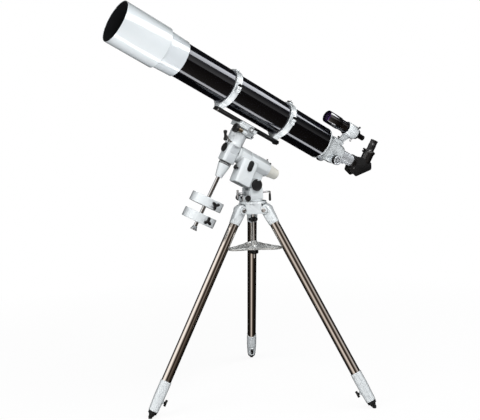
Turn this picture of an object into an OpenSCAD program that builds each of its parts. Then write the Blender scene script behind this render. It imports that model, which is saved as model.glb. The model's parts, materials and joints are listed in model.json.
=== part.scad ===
// Refractor telescope on a German equatorial mount and steel tripod, in millimetres.
// Frame: +Z up, origin at the bottom centre of the bounding box. The XZ plane holds the
// polar axis and the north leg; the tube's front points to -X and up.

/* [Tube] */
// Outside diameter of the main tube
tube_d = 160; // [140:1:180]
// Wall thickness of the tube, cell and dew shield
wall = 2; // [1.5:0.1:3]
// Outside diameter of the dew shield
shield_d = 192; // [180:1:210]
// Length of the dew shield
shield_len = 228; // [200:1:280]
// Length of the lens cell sleeve behind the dew shield
sleeve_len = 100; // [80:1:140]
// Length of the black tube
tube_len = 863; // [790:1:900]
// Clear aperture of the lens
lens_d = 150; // [140:1:152]
// Distance from the dec axis to the front of the dew shield
front_s = 758; // [740:1:780]

/* [Rings and bar] */
// Width of a tube ring
ring_w = 32; // [24:1:40]
// Thickness of a tube ring
ring_t = 8; // [6:0.5:12]
// Position of the front ring along the tube
ring_a = 152; // [130:1:165]
// Position of the rear ring along the tube
ring_b = -180; // [-190:1:-165]
// Width of the dovetail bar at its foot
bar_w = 44; // [40:1:48]
// Front end of the dovetail bar, from the dec axis
bar_front = 166; // [150:1:180]
// Length of the dovetail bar
bar_len = 374; // [340:1:390]
// Thickness of the dovetail bar
bar_t = 16; // [12:1:18]

/* [Focuser] */
// Outside diameter of the drawtube
draw_d = 58; // [52:0.5:62]
// Running clearance of a turned fit, radial
fit = 0.05; // [0.02:0.01:0.1]
// Gap left between parts that pass each other
gap = 0.4; // [0.3:0.05:0.8]
// Diameter of a focus knob
focus_knob_d = 46; // [38:1:50]
// Diameter of the diagonal's eyepiece holder
holder_d = 56; // [50:1:60]
// Diameter of the eyepiece
eye_d = 40; // [34:1:44]

/* [Finder] */
// Diameter of the finder's front hood
finder_d = 62; // [56:1:66]
// Distance from the tube axis to the finder axis
finder_h = 128; // [120:1:136]
// Lean of the finder around the tube, degrees
finder_lean = 15; // [5:1:25]

/* [Mount] */
// Altitude of the polar axis, degrees
pol_alt = 27; // [24:1:30]
// Turn of the RA axis in the photo's pose, degrees
ra_turn = -8; // [-15:1:15]
// Distance from the polar axis to the tube axis
tube_h = 245; // [240:1:250]
// Distance the polar crossing stands forward of the azimuth axis
cross_x = 114; // [105:1:120]
// Height of the polar crossing above the leg hinges
cross_z = 283; // [278:1:294]
// Diameter of the RA housing
ra_d = 84; // [80:1:90]
// Diameter of the dec setting circle
dec_d = 60; // [56:1:64]
// Diameter of the dec housing neck under the saddle
neck_d = 82; // [76:1:82]
// Diameter of the counterweight
weight_d = 158; // [140:1:170]
// Thickness of the counterweight
weight_t = 44; // [36:1:50]
// Diameter of the counterweight shaft
shaft_d = 18; // [16:1:20]
// Distance from the polar axis to the upper counterweight
weight_a = 264; // [250:1:275]
// Distance from the polar axis to the lower counterweight
weight_b = 344; // [335:1:352]
// Diameter of the altitude caps
alt_cap_d = 56; // [48:1:60]

/* [Tripod] */
// Height of the leg hinges
hinge_z = 896; // [880:1:905]
// Distance from the azimuth axis to a leg hinge
hinge_r = 72; // [68:1:76]
// Distance from the azimuth axis to the middle of a foot
foot_r = 587; // [540:1:640]
// Diameter of a leg tube
leg_d = 46; // [42:1:48]
// Length of a leg crown below its hinge
crown_len = 75; // [60:1:90]
// Length of the lower collar
collar_len = 142; // [120:1:160]
// Height of the accessory tray
tray_z = 712; // [700:1:722]
// Diameter of the centre rod
rod_d = 14; // [12:0.5:16]

/* [Hidden] */

$fn = 72;
tr = tube_d / 2;
sr = shield_d / 2;
cf = cos(pol_alt);
sf = sin(pol_alt);
shield_s = front_s - shield_len;
cell_s = shield_s - sleeve_len;
rear_s = cell_s - tube_len;
// how far the tube plugs into the lens cell
plug = 28;
ring_r = tr + ring_t;
foot_h = 10;
bar_top = tube_h - tr - ring_t - foot_h;
bar_bot = bar_top - bar_t;
// top of the dec housing, and the clamp knob's distance from the polar axis
neck_top = bar_bot - 43;
knob_x = neck_top + 10;
// drawtube end, diagonal centre
draw_s = rear_s - 217;
diag_s = draw_s - 90;
draw_r = draw_d / 2;
eye_top = 153;
// middle of the bounding box, so the origin sits under it
x_lo = -cross_x - cf * front_s + sf * (tube_h - sr);
x_hi = -cross_x - cf * (diag_s - eye_d / 2) + sf * (tube_h + eye_top);
shift = -(x_lo + x_hi) / 2;
// altitude bolt
base_z = hinge_z + 40;
alt_z = base_z + 76;
cross_h = hinge_z + cross_z;
alt_s = -(cross_x * cf + (cross_h - alt_z) * sf);
alt_n = cross_x * sf - (cross_h - alt_z) * cf;
lug_w = 35;
screw_z = alt_z - 38;
// leg geometry
spread = atan((foot_r - hinge_r) / hinge_z);
leg_len = sqrt(pow(foot_r - hinge_r, 2) + pow(hinge_z, 2));
leg_r = leg_d / 2;
crown_r = leg_r + 2;
collar_end = leg_len - 36;
collar_s = collar_end - collar_len;
slide_r = leg_r - 3.5;
bolt_r = 6;
ear_in = crown_r + gap;
ear_out = ear_in + 9;
rod_r = rod_d / 2;
hub_bot = hinge_z - 20;
ra_r = ra_d / 2;
dec_r = dec_d / 2;
neck_r = neck_d / 2;
shaft_r = shaft_d / 2;
dshaft_r = 14;
polar_r = 18;

module ring(ro, ri, z0, z1) {
  translate([0, 0, z0]) difference() {
    cylinder(r = ro, h = z1 - z0);
    translate([0, 0, -1]) cylinder(r = ri, h = z1 - z0 + 2);
  }
}
module rod(r, z0, z1) translate([0, 0, z0]) cylinder(r = r, h = z1 - z0);
module cone(r0, r1, z0, z1) translate([0, 0, z0]) cylinder(r1 = r0, r2 = r1, h = z1 - z0);
module block(x0, x1, y0, y1, z0, z1) translate([x0, y0, z0]) cube([x1 - x0, y1 - y0, z1 - z0]);
// box with four round edges along z
module rblock(x0, x1, y0, y1, z0, z1, r) {
  block(x0 + r, x1 - r, y0, y1, z0, z1);
  block(x0, x1, y0 + r, y1 - r, z0, z1);
  for (x = [x0 + r, x1 - r], y = [y0 + r, y1 - r]) translate([x, y, 0]) rod(r, z0, z1);
}
// lay z along x (outward from the polar axis) or along y
module out_x() rotate([0, 90, 0]) children();
module out_y() rotate([-90, 0, 0]) children();
// frames: azimuth, polar (x outward, z to the front), RA turned, tube, finder, leg
module af() translate([shift, 0, 0]) children();
module pf() translate([shift - cross_x, 0, cross_h]) rotate([0, pol_alt - 90, 0]) children();
module rf() pf() rotate([0, 0, ra_turn]) children();
module tf() rf() translate([tube_h, 0, 0]) children();
module ff() tf() rotate([0, 0, -finder_lean]) children();
module spoke(i) af() rotate([0, 0, 180 + 120 * i]) children();
module lf(i) spoke(i) translate([hinge_r, 0, hinge_z]) rotate([0, 180 - spread, 0]) children();

// ---------- tripod ----------
module hub_plan() {
  k = [[hinge_r - 12, -ear_out], [hinge_r - 12, -ear_in], [hinge_r - 28, -ear_in],
    [hinge_r - 28, ear_in], [hinge_r - 12, ear_in], [hinge_r - 12, ear_out]];
  polygon([for (i = [0:2]) for (q = k) let (a = 180 + 120 * i)
    [q[0] * cos(a) - q[1] * sin(a), q[0] * sin(a) + q[1] * cos(a)]]);
}
module tripod_hub() color("white") difference() {
  union() {
    af() translate([0, 0, hub_bot + 2]) linear_extrude(height = base_z - 12 - hub_bot) hub_plan();
    af() rod(64, base_z - 12, base_z - gap);
    for (i = [0:2]) spoke(i) translate([hinge_r, 0, hinge_z]) out_y() {
      rod(18, ear_in, ear_out);
      rod(18, -ear_out, -ear_in);
    }
  }
  for (i = [0:2]) spoke(i) translate([hinge_r, 0, hinge_z]) out_y() rod(bolt_r, -60, 60);
  af() rod(rod_r + fit, hub_bot, base_z - 6);
}
module leg_bolts() color("silver") for (i = [0:2])
  spoke(i) translate([hinge_r, 0, hinge_z]) out_y() {
    rod(bolt_r, -ear_out, ear_out);
    rod(11, ear_out, ear_out + 5);
    rod(11, -ear_out - 5, -ear_out);
  }
// the rod under the hub and the pin that the azimuth screws press on
module centre_rod() color("silver") af() {
  rod(rod_r, tray_z - 52, base_z - 8);
  rod(11, hub_bot - 17, hub_bot + 2);
  translate([-54, 0, 0]) rod(5, base_z - gap, base_z + 26);
}
module star(z0, z1, rb, rl, n) difference() {
  union() {
    rod(rb, z0, z1);
    for (i = [0:n - 1]) rotate([0, 0, 360 / n * i]) translate([rb, 0, 0]) rod(rl, z0, z1);
  }
  rod(rod_r + fit, z0 - 1, z1 + 1);
}
module centre_knob() color("#222") af() star(hub_bot - 40, hub_bot - 17 - gap, 17, 7, 5);
module tray_knob() color("#222") af() union() {
  star(tray_z - 32, tray_z - 10, 15, 7, 3);
  ring(14, rod_r + fit, tray_z - 10, tray_z - 4 - gap);
}
function tray_r(a, m) = 84 + 60 * pow(abs(cos(1.5 * a)), 5) - m;
module tray_plan(m) polygon([for (a = [0:5:355]) tray_r(a, m) * [cos(a + 180), sin(a + 180)]]);
module tray() color("silver") af() difference() {
  union() {
    translate([0, 0, tray_z - 4]) linear_extrude(height = 12) tray_plan(0);
    rod(16, tray_z, tray_z + 33);
  }
  difference() {
    translate([0, 0, tray_z]) linear_extrude(height = 20) tray_plan(4);
    rod(16, tray_z - 1, tray_z + 30);
  }
  rod(rod_r + fit, tray_z - 10, tray_z + 40);
}
module leg_castings(i) color("white") lf(i) {
  difference() {
    union() {
      rod(crown_r, 4, crown_len);
      out_y() rod(24, -crown_r, crown_r);
    }
    rod(leg_r, 30, crown_len + 1);
    out_y() rod(bolt_r + fit, -40, 40);
  }
  difference() {
    union() {
      rod(leg_r + 2.5, collar_s, collar_s + 70);
      cone(leg_r + 2.5, leg_r - 0.5, collar_s + 70, collar_end);
    }
    rod(leg_r, collar_s - 1, collar_s + 50);
    rod(slide_r + fit, collar_s + 40, collar_end + 1);
    translate([0, 0, collar_end - 50]) out_x() rod(5 + fit, 0, 40);
  }
}
module leg_tube(i) color("silver") lf(i) ring(leg_r, leg_r - 2, 30, collar_s + 50);
module leg_slider(i) color("#333") {
  lf(i) {
    ring(slide_r, slide_r - 2, collar_s - 480, collar_end + 4);
    rod(slide_r + 1.5, collar_end + gap, collar_end + 14);
    cone(15, 9, collar_end + 14, leg_len - 9);
  }
  spoke(i) translate([foot_r - 2, 0, 0]) rod(9, 0, 12);
}
module leg_screw(i) color("#222") lf(i) translate([0, 0, collar_end - 50]) {
  out_x() rod(5, slide_r + 4 * gap, 40);
  out_x() rod(8, 38, 44);
  translate([44, 0, 0]) rod(6, -15, 15);
}
module leg_a_castings() leg_castings(0);
module leg_b_castings() leg_castings(1);
module leg_c_castings() leg_castings(2);
module leg_a_tube() leg_tube(0);
module leg_b_tube() leg_tube(1);
module leg_c_tube() leg_tube(2);
module leg_a_slider() leg_slider(0);
module leg_b_slider() leg_slider(1);
module leg_c_slider() leg_slider(2);
module leg_a_screw() leg_screw(0);
module leg_b_screw() leg_screw(1);
module leg_c_screw() leg_screw(2);

// ---------- azimuth and altitude ----------
module azimuth_base() color("white") af() difference() {
  union() {
    rod(46, base_z, base_z + 10);
    for (s = [-1, 1]) {
      translate([0, s * 26.5, 0]) {
        block(-36, 36, -8.5, 8.5, base_z + 9, alt_z - 14);
        translate([0, 0, alt_z]) out_y() rod(30, -8.5, 8.5);
      }
      block(-64, -34, s * 22 - 6, s * 22 + 6, base_z + 2, screw_z - 12);
    }
    for (x = [-40, 30]) block(x, x + 10, -30, 30, base_z + 9, screw_z + 12);
  }
  translate([0, 0, alt_z]) out_y() rod(8, -60, 60);
  translate([0, 0, screw_z]) out_x() rod(6 + fit, -60, 60);
  translate([-54, 0, base_z + 17]) out_y() rod(4 + fit, -60, 60);
  translate([-54, 0, 0]) rod(9, base_z - 5, base_z + 40);
}
module azimuth_screw(s) color("#222") af() translate([-54, 0, base_z + 17]) {
  out_y() rod(4, s > 0 ? 5 + 2 * gap : -38, s > 0 ? 38 : -5 - 2 * gap);
  out_y() rod(14, s > 0 ? 37 : -48, s > 0 ? 48 : -37);
}
module azimuth_screw_near() azimuth_screw(-1);
module azimuth_screw_far() azimuth_screw(1);
module altitude_bolt() color("#222") af() translate([0, 0, alt_z]) out_y() {
  rod(8, -36, 36);
  for (s = [-1, 1]) rod(alt_cap_d / 2, s > 0 ? 35 : -45, s > 0 ? 45 : -35);
}
module altitude_screw_front() color("silver") af() translate([0, 0, screw_z]) {
  out_x() rod(1.6, -16, -10 - gap);
  out_x() rod(6, -88, -15);
  translate([-84, 0, 0]) rod(5, -22, 18);
}
module altitude_screw_rear() color("silver") af() translate([0, 0, screw_z]) {
  out_x() rod(1.6, 10 + gap, 16);
  out_x() rod(6, 15, 104);
  translate([99, 0, 0]) rod(5, -46, 4);
}
module ra_housing() color("white") difference() {
  union() {
    pf() {
      rod(ra_r, -212, -34 - 8);
      rod(ra_r - 6, -222, -212);
      translate([alt_n, 0, alt_s]) out_y() rod(28, -lug_w / 2, lug_w / 2);
      block(alt_n, -ra_r + 12, -lug_w / 2, lug_w / 2, alt_s - 28, alt_s + 28);
    }
    af() block(-10, 10, -lug_w / 2, lug_w / 2, screw_z - 12, alt_z - 10);
  }
  pf() rod(24 + fit, -196, 0);
  pf() rod(polar_r, -230, -190);
  pf() translate([alt_n, 0, alt_s]) out_y() rod(8 + fit, -60, 60);
}
module gear_cover() color("white") pf() {
  difference() {
    translate([0, 0, 0]) out_x() rblock(50, 136, -62, 8, -130, -8, 14);
    rod(ra_r, -220, 0);
  }
  translate([0, -65, 0]) {
    translate([-24, 0, -94]) out_y() rod(14, 0, 3);
    translate([-50, 0, -94]) out_y() rod(14, 0, 3);
    block(-50, -24, 0, 3, -108, -80);
  }
}
module ra_lever() color("#222") pf() translate([-66, -34, 0]) {
  rod(4, -50 + gap, -38);
  rod(11, -39, -31);
}
module polar_scope() color("#222") pf() {
  ring(20, 10, -228, -222);
  ring(12, 10, -224, -70);
}
module polar_cap() color("#ddd8cc") pf() difference() {
  union() {
    rod(30, -244, -222 - gap);
    cone(25, 29, -282, -244);
  }
  rod(20 + fit, -228 - gap, -220);
}

// ---------- head that turns with the RA axis ----------
module octagon(w, c) polygon([[w - c, w], [w, w - c], [w, c - w], [w - c, -w],
  [c - w, -w], [-w, c - w], [-w, w - c], [c - w, w]]);
module dec_housing() color("white") rf() difference() {
  union() {
    rotate([0, 90, 0]) translate([0, 0, -58]) linear_extrude(height = 86) octagon(32, 9);
    out_x() rod(neck_r, 27, neck_top - gap);
    rod(ra_r - 1, -42 + gap, -27);
    rod(24, -190, -36);
    rod(24, 30, 36);
  }
  out_x() rod(dshaft_r + fit, -60, neck_top + 2);
  rod(polar_r, -191, 40);
  translate([34, -24, 0]) rod(4 + fit, 24, 60);
}
module bore_plug() color("#222") rf() {
  rod(polar_r - fit, 22, 37);
  rod(22, 36 + gap, 42);
}
module dec_lever() color("#222") rf() {
  translate([34, -24, 0]) {
    rod(4, 26, 44);
    rod(7, neck_r - 2, 45);
  }
  translate([34, -24, 42]) rotate([0, 32, 0]) rod(3.5, -1, 32);
  translate([47, -24, 73]) rotate([0, 61.5, 0]) {
    rod(6, -15, 15);
    for (z = [-15, 15]) translate([0, 0, z]) out_y() rod(9, -7, 7);
  }
}
module dec_circle() color("#333") rf() out_x() ring(dec_r - 0.5, dshaft_r + fit, -71.6, -59.2);

// ---------- parts that turn with the dec axis ----------
module dec_shaft() color("silver") rf() out_x() {
  rod(dshaft_r, -74, neck_top);
}
module saddle() color("white") rf() difference() {
  union() {
    out_x() rblock(-30, 62, -32, 32, neck_top, bar_bot - 16, 8);
    out_x() rod(neck_r, neck_top, neck_top + 8);
    translate([knob_x, -42, 0]) {
      rod(10 - gap, -14, 12);
      block(gap - 10, 10 - gap, 0, 24, -14, 12);
    }
    translate([bar_bot - 8.5, 0, -22]) out_y() {
      rod(5, -47, -43);
      rod(12, -58, -47);
    }
    translate([bar_bot - 34, 0, -54]) out_y() rod(4.5, -39, -31);
    block(bar_bot - 16.5, bar_bot, -44, 40, -60, 40);
    block(bar_bot - 1, bar_bot + 10, bar_w / 2, 40, -60, 40);
  }
  out_x() rod(dshaft_r, neck_top - 28, neck_top + 1);
  translate([knob_x, -42, 0]) {
    rod(6 + fit, -10, 60);
    rod(9 + gap, 12, 60);
  }
}
module saddle_jaw() color("white") rf() {
  block(bar_bot + gap, bar_bot + 10, -42, -bar_w / 2 - gap, -40, 34);
}
module saddle_knob() color("#222") rf() translate([knob_x, -42, 0]) {
  rod(6, -6, 20);
  rod(9, 12 + gap, 42);
  rod(21, 41, 58);
}
module shaft_cone() color("white") rf() out_x() difference() {
  cone(16.5, dec_r - 1, -136, -72);
  rod(shaft_r + fit, -140, -84);
  rod(dshaft_r + fit, -84.5, -70);
}
module weight_shaft() color("silver") rf() out_x() rod(shaft_r, -398, -84.5);
module toe_cap() color("silver") rf() out_x() difference() {
  cone(16, 11, -407, -388);
  rod(shaft_r + fit, -398 - gap, -380);
}
module weight(n) color("white") rf() out_x() difference() {
  rod(weight_d / 2, -n - weight_t / 2, -n + weight_t / 2);
  rod(shaft_r + fit, -n - 40, -n + 40);
  translate([0, 0, -n]) rotate([90, 0, 0]) rod(5 + fit, 0, 100);
}
module weight_screw(n, a) color("#222") rf() translate([-n, 0, 0]) rotate([90, 0, 0]) {
  rod(5, shaft_r + gap, weight_d / 2 + 12);
  translate([0, 0, weight_d / 2 + 8]) {
    rod(9, 0, 10);
    for (i = [0:2]) rotate([0, 0, a + 120 * i]) {
      block(0, 16, -4, 4, 0, 10);
      translate([16, 0, 0]) rod(5, 0, 10);
    }
  }
}
module weight_upper() weight(weight_a);
module weight_lower() weight(weight_b);
module weight_screw_upper() weight_screw(weight_a, 66);
module weight_screw_lower() weight_screw(weight_b, 6);

// ---------- optical tube ----------
module dovetail_bar() color("#333") rf() difference() {
  translate([bar_bot, 0, bar_front - bar_len]) linear_extrude(height = bar_len)
    polygon([[0, -bar_w / 2], [bar_t, -bar_w / 2 + 5], [bar_t, bar_w / 2 - 5], [0, bar_w / 2]]);
}
module hinge_eye(r, z0, z1) translate([0, ring_r + 4, 0]) rod(r, z0, z1);
module ring_half(s, ri) intersection() {
  ring(ring_r, ri, -ring_w / 2, ring_w / 2);
  block(s > 0 ? 0.2 : -200, s > 0 ? 200 : -0.2, -200, 200, -100, 100);
}
module ring_base() {
  difference() {
    ring_half(-1, tr);
    hinge_eye(6 + gap, -5.4, 5.4);
  }
  difference() {
    block(-ring_r - foot_h, -tr + 6, -22, 22, -ring_w / 2, ring_w / 2);
    rod(tr, -100, 100);
  }
  block(-14, -0.2, -ring_r - 16, -ring_r + 2, -10, 10);
  for (z = [-15, 5.4]) {
    hinge_eye(6, z, z + 9.6);
    block(-10, -0.2, ring_r - 3, ring_r + 4, z, z + 9.6);
  }
  hinge_eye(2.5, -15, 15);
}
module ring_top() {
  difference() {
    ring_half(1, tr + gap);
    for (z = [-17, 5]) hinge_eye(6 + gap, z, z + 12);
  }
  block(0.2, 14, -ring_r - 16, -ring_r + 2, -10, 10);
  translate([0, -ring_r - 9, 0]) out_x() {
    rod(4, 13, 28);
    rod(8, 20, 30);
  }
  difference() {
    union() {
      hinge_eye(6, -5, 5);
      block(0.2, 10, ring_r - 3, ring_r + 4, -5, 5);
    }
    hinge_eye(2.5 + fit, -20, 20);
  }
}
module ring_bases() color("white") tf() for (z = [ring_a, ring_b]) translate([0, 0, z]) ring_base();
module ring_top_front() color("white") tf() translate([0, 0, ring_a]) ring_top();
module ring_top_rear() color("white") tf() translate([0, 0, ring_b]) {
  ring_top();
  out_x() {
    rod(14, ring_r - 1, ring_r + 5);
    rod(3.175, ring_r, ring_r + 17);
  }
}
module main_tube() color("#181818") tf() {
  ring(tr, tr - wall, rear_s, cell_s + plug);
  for (z = [300, 560, 780]) ring(tr - wall, tr - 26, rear_s + z, rear_s + z + 3);
}
module lens_cell() color("white") tf() difference() {
  cone(tr + 4, tr + 8, cell_s, shield_s);
  rod(tr, cell_s - 1, cell_s + plug);
  rod(lens_d / 2 - 1, cell_s, shield_s + 1);
  rod(lens_d / 2 + 1, cell_s + 60, shield_s + 1);
}
module objective_lens() color("#bcd") tf() {
  rod(lens_d / 2 + 1, cell_s + 60, cell_s + 94);
  cone(lens_d / 2 - 2, 20, cell_s + 94, cell_s + 98);
}
module dew_shield() color("white") tf() difference() {
  union() {
    ring(sr, sr - wall, shield_s, front_s);
    ring(sr, tr - 2, shield_s, shield_s + 5);
  }
}
module focuser_body() color("white") tf() {
  difference() {
    union() {
      rod(tr, rear_s - 8, rear_s);
      rod(tr - wall, rear_s - 1, rear_s + 14);
      cone(50, tr - 6, rear_s - 64, rear_s - 8);
      cone(38, 50, rear_s - 140, rear_s - 64);
      block(-62, -30, -24, 24, rear_s - 118, rear_s - 60);
      ff_shoe();
    }
    rod(draw_r + fit, -800, 0);
    rod(tr - wall - 4, rear_s - 6, rear_s + 20);
    cone(44, tr - 12, rear_s - 58, rear_s - 5);
    block(-draw_r - 9, 0, -6, 6, -800, rear_s + 1);
    translate([-draw_r - 17, 0, rear_s - 90]) out_y() {
      rod(4 + fit, -60, 60);
      rod(11, -12, 12);
    }
  }
}
module ff_shoe() rotate([0, 0, -finder_lean]) difference() {
  block(20, 60, -19, 19, rear_s - 114, rear_s - 56);
  block(51, 62, -11, 11, rear_s - 120, rear_s - 50);
}
module focus_pinion() color("silver") tf() translate([-draw_r - 17, 0, rear_s - 90]) out_y() {
  rod(4, -80, 80);
  rod(9, -10, 10);
  for (s = [-1, 1]) {
    rod(focus_knob_d / 2, s > 0 ? 58 : -80, s > 0 ? 80 : -58);
    rod(12, s > 0 ? 36 : -59, s > 0 ? 59 : -36);
  }
}
module drawtube() color("silver") tf() {
  ring(draw_r, 25.5, draw_s, rear_s - 30);
  difference() {
    block(-draw_r - 7, -27, -5, 5, draw_s + 30, rear_s - 32);
    rod(27, -900, 0);
  }
}
module diagonal() color("#181818") tf() difference() {
  union() {
    ring(25.5 - fit, 22, draw_s - 5, draw_s + 30);
    rod(draw_r + 5, draw_s - 14, draw_s - gap);
    translate([0, 26, diag_s]) rotate([90, 0, 0]) linear_extrude(height = 52)
      polygon([[34, 43], [34, -26], [16, -43], [-50, 23], [-44, 77], [24, 77]]);
    translate([0, 0, diag_s]) out_x() {
      rod(holder_d / 2, 30, 86);
      rod(holder_d / 2 + 3, 84, 94);
    }
    translate([76, 0, diag_s]) for (x = [0, 9]) translate([x, 0, 0]) rod(3.5, 20, 44 - x / 3);
  }
  translate([0, 0, diag_s]) out_x() rod(16 + fit, 40, 100);
  rod(22, diag_s + 30, draw_s + 40);
  translate([0, 0, diag_s]) out_x() rod(15, 0, 60);
  translate([0, 0, diag_s]) out_x() rod(23, 36, 58);
  rod(15, diag_s, draw_s);
  translate([0, 20, diag_s]) rotate([90, 0, 0]) linear_extrude(height = 40)
    polygon([[27, 36], [27, -19], [12, -31], [-39, 20], [-36, 66], [18, 66]]);
}
module eyepiece() color("#181818") tf() translate([0, 0, diag_s]) out_x() difference() {
  union() {
    ring(16, 14, 62, 95);
    rod(eye_d / 2, 94 + gap, eye_top);
  }
  rod(14, 60, 100);
  cone(8, 15, eye_top - 6, eye_top + 0.1);
}
module finder_bracket() color("white") ff() {
  difference() {
    union() {
      block(51 + gap, 62, -11 + gap, 11 - gap, rear_s - 114, rear_s - 62);
      block(61, finder_h - 30, -7, 7, rear_s - 118, rear_s - 82);
      translate([finder_h, 0, 0]) rod(36, rear_s - 146, rear_s - 82);
    }
    translate([finder_h, 0, 0]) rod(33, -900, 0);
    for (a = [85, 205, 325]) translate([finder_h, 0, rear_s - 136]) rotate([0, 0, a]) out_x()
      rod(2.5, 30, 40);
  }
  for (a = [85, 205, 325]) translate([finder_h, 0, rear_s - 136]) rotate([0, 0, a]) out_x() {
    rod(2.5, 22, 44);
    rod(4.5, 42, 49);
  }
}
module finder_scope() color("#181818") ff() translate([finder_h, 0, 0]) difference() {
  union() {
    rod(finder_d / 2, rear_s - 34, rear_s + 48);
    rod(finder_d / 2 - 3, rear_s - 76, rear_s - 34);
    rod(22, rear_s - 160, rear_s - 76);
    rod(33 - fit, rear_s - 96, rear_s - 90);
    cone(14, 26, rear_s - 168, rear_s - 158);
    rod(13, rear_s - 208, rear_s - 166);
  }
  rod(finder_d / 2 - 3, rear_s + 14, rear_s + 60);
  rod(25, rear_s - 72, rear_s + 10);
  rod(19, rear_s - 154, rear_s - 60);
  rod(5, rear_s - 220, rear_s - 150);
}
module finder_screw() color("#222") ff() translate([62, -9, rear_s - 72]) out_x() {
  rod(2, gap, 8);
  rod(5, 6, 14);
}

tripod_hub();
leg_bolts();
centre_rod();
centre_knob();
tray();
tray_knob();
leg_a_castings();
leg_a_tube();
leg_a_slider();
leg_a_screw();
leg_b_castings();
leg_b_tube();
leg_b_slider();
leg_b_screw();
leg_c_castings();
leg_c_tube();
leg_c_slider();
leg_c_screw();
azimuth_base();
azimuth_screw_near();
azimuth_screw_far();
altitude_bolt();
altitude_screw_front();
altitude_screw_rear();
ra_housing();
gear_cover();
ra_lever();
polar_scope();
polar_cap();
dec_housing();
bore_plug();
dec_lever();
dec_circle();
dec_shaft();
saddle();
saddle_jaw();
saddle_knob();
shaft_cone();
weight_shaft();
toe_cap();
weight_upper();
weight_lower();
weight_screw_upper();
weight_screw_lower();
dovetail_bar();
ring_bases();
ring_top_front();
ring_top_rear();
main_tube();
lens_cell();
objective_lens();
dew_shield();
focuser_body();
focus_pinion();
drawtube();
diagonal();
eyepiece();
finder_bracket();
finder_scope();
finder_screw();
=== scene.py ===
"""Looks of a refractor telescope on a German equatorial mount and a steel tripod.

Lengths in the classes are millimetres in the part's own frame; meshes are metres.
"""

import json
import logging
import math
from contextlib import contextmanager
from dataclasses import dataclass, field
from enum import Enum
from typing import Callable, ClassVar, Iterable, Iterator, Sequence

import bmesh
import bpy
import numpy as np
from mathutils import Matrix, Vector
from mathutils.bvhtree import BVHTree

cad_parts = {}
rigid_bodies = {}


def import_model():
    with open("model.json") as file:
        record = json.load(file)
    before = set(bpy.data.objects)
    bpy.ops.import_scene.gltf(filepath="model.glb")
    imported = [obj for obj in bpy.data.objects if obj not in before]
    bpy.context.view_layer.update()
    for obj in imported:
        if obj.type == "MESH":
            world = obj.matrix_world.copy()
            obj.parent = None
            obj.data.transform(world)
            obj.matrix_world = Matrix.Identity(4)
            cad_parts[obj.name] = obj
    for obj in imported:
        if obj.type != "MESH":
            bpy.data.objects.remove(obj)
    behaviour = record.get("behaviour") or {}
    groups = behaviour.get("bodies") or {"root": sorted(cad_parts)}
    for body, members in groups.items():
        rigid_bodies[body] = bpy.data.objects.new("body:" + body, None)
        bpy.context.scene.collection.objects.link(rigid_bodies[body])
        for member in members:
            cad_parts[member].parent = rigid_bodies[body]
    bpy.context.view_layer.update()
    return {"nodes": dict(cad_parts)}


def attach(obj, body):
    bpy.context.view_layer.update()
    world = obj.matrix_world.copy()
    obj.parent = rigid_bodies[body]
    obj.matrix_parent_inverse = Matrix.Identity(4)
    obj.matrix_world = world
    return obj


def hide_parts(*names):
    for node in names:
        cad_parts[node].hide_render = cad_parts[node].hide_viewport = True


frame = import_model()
LOG = logging.getLogger("telescope")
MM = 0.001
SEAM = 2e-6     # metres within which points of one shell are merged
AXIS_R = 0.01   # radius in millimetres that stands for a lathe's axis
Array = np.ndarray
Object, Material = bpy.types.Object, bpy.types.Material
Tree, Socket = bpy.types.NodeTree, bpy.types.NodeSocket
Swell = Callable[[Array, Array, Array], Array]


# ---------------------------------------------------------------- frames
@dataclass(frozen=True)
class Axes:
    """A local frame in millimetres: an origin and three unit vectors."""

    origin: Array
    x: Array
    y: Array
    z: Array

    def at(self, points: Array) -> Array:
        """Local points (..., 3) in millimetres to world points in metres."""
        p = np.asarray(points, float)
        world = (self.origin + p[..., :1] * self.x + p[..., 1:2] * self.y
                 + p[..., 2:3] * self.z)
        return world * MM

    def moved(self, x: float = 0.0, y: float = 0.0, z: float = 0.0) -> "Axes":
        """The same directions from a point (x, y, z) of this frame."""
        return Axes(self.origin + x * self.x + y * self.y + z * self.z,
                    self.x, self.y, self.z)

    def spun(self, degrees: float) -> "Axes":
        """Turned about its own z."""
        c, s = math.cos(math.radians(degrees)), math.sin(math.radians(degrees))
        return Axes(self.origin, self.x * c + self.y * s, self.y * c - self.x * s, self.z)

    def tilted(self, degrees: float) -> "Axes":
        """Turned about its own y, z towards x."""
        c, s = math.cos(math.radians(degrees)), math.sin(math.radians(degrees))
        return Axes(self.origin, self.x * c - self.z * s, self.y, self.z * c + self.x * s)

    def along_x(self) -> "Axes":
        """A frame whose z is this frame's x."""
        return Axes(self.origin, -self.z, self.y, self.x)

    def along_y(self) -> "Axes":
        """A frame whose z is this frame's y."""
        return Axes(self.origin, self.x, -self.z, self.y)

    def along_minus_y(self) -> "Axes":
        """A frame whose z is this frame's -y."""
        return Axes(self.origin, self.x, self.z, -self.y)

    def upside_down(self) -> "Axes":
        """A frame whose z is this frame's -z."""
        return Axes(self.origin, self.x, -self.y, -self.z)

    def both_ways(self) -> tuple["Axes", "Axes"]:
        """This frame and the same one upside down, for what sits at both ends."""
        return self, self.upside_down()


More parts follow.
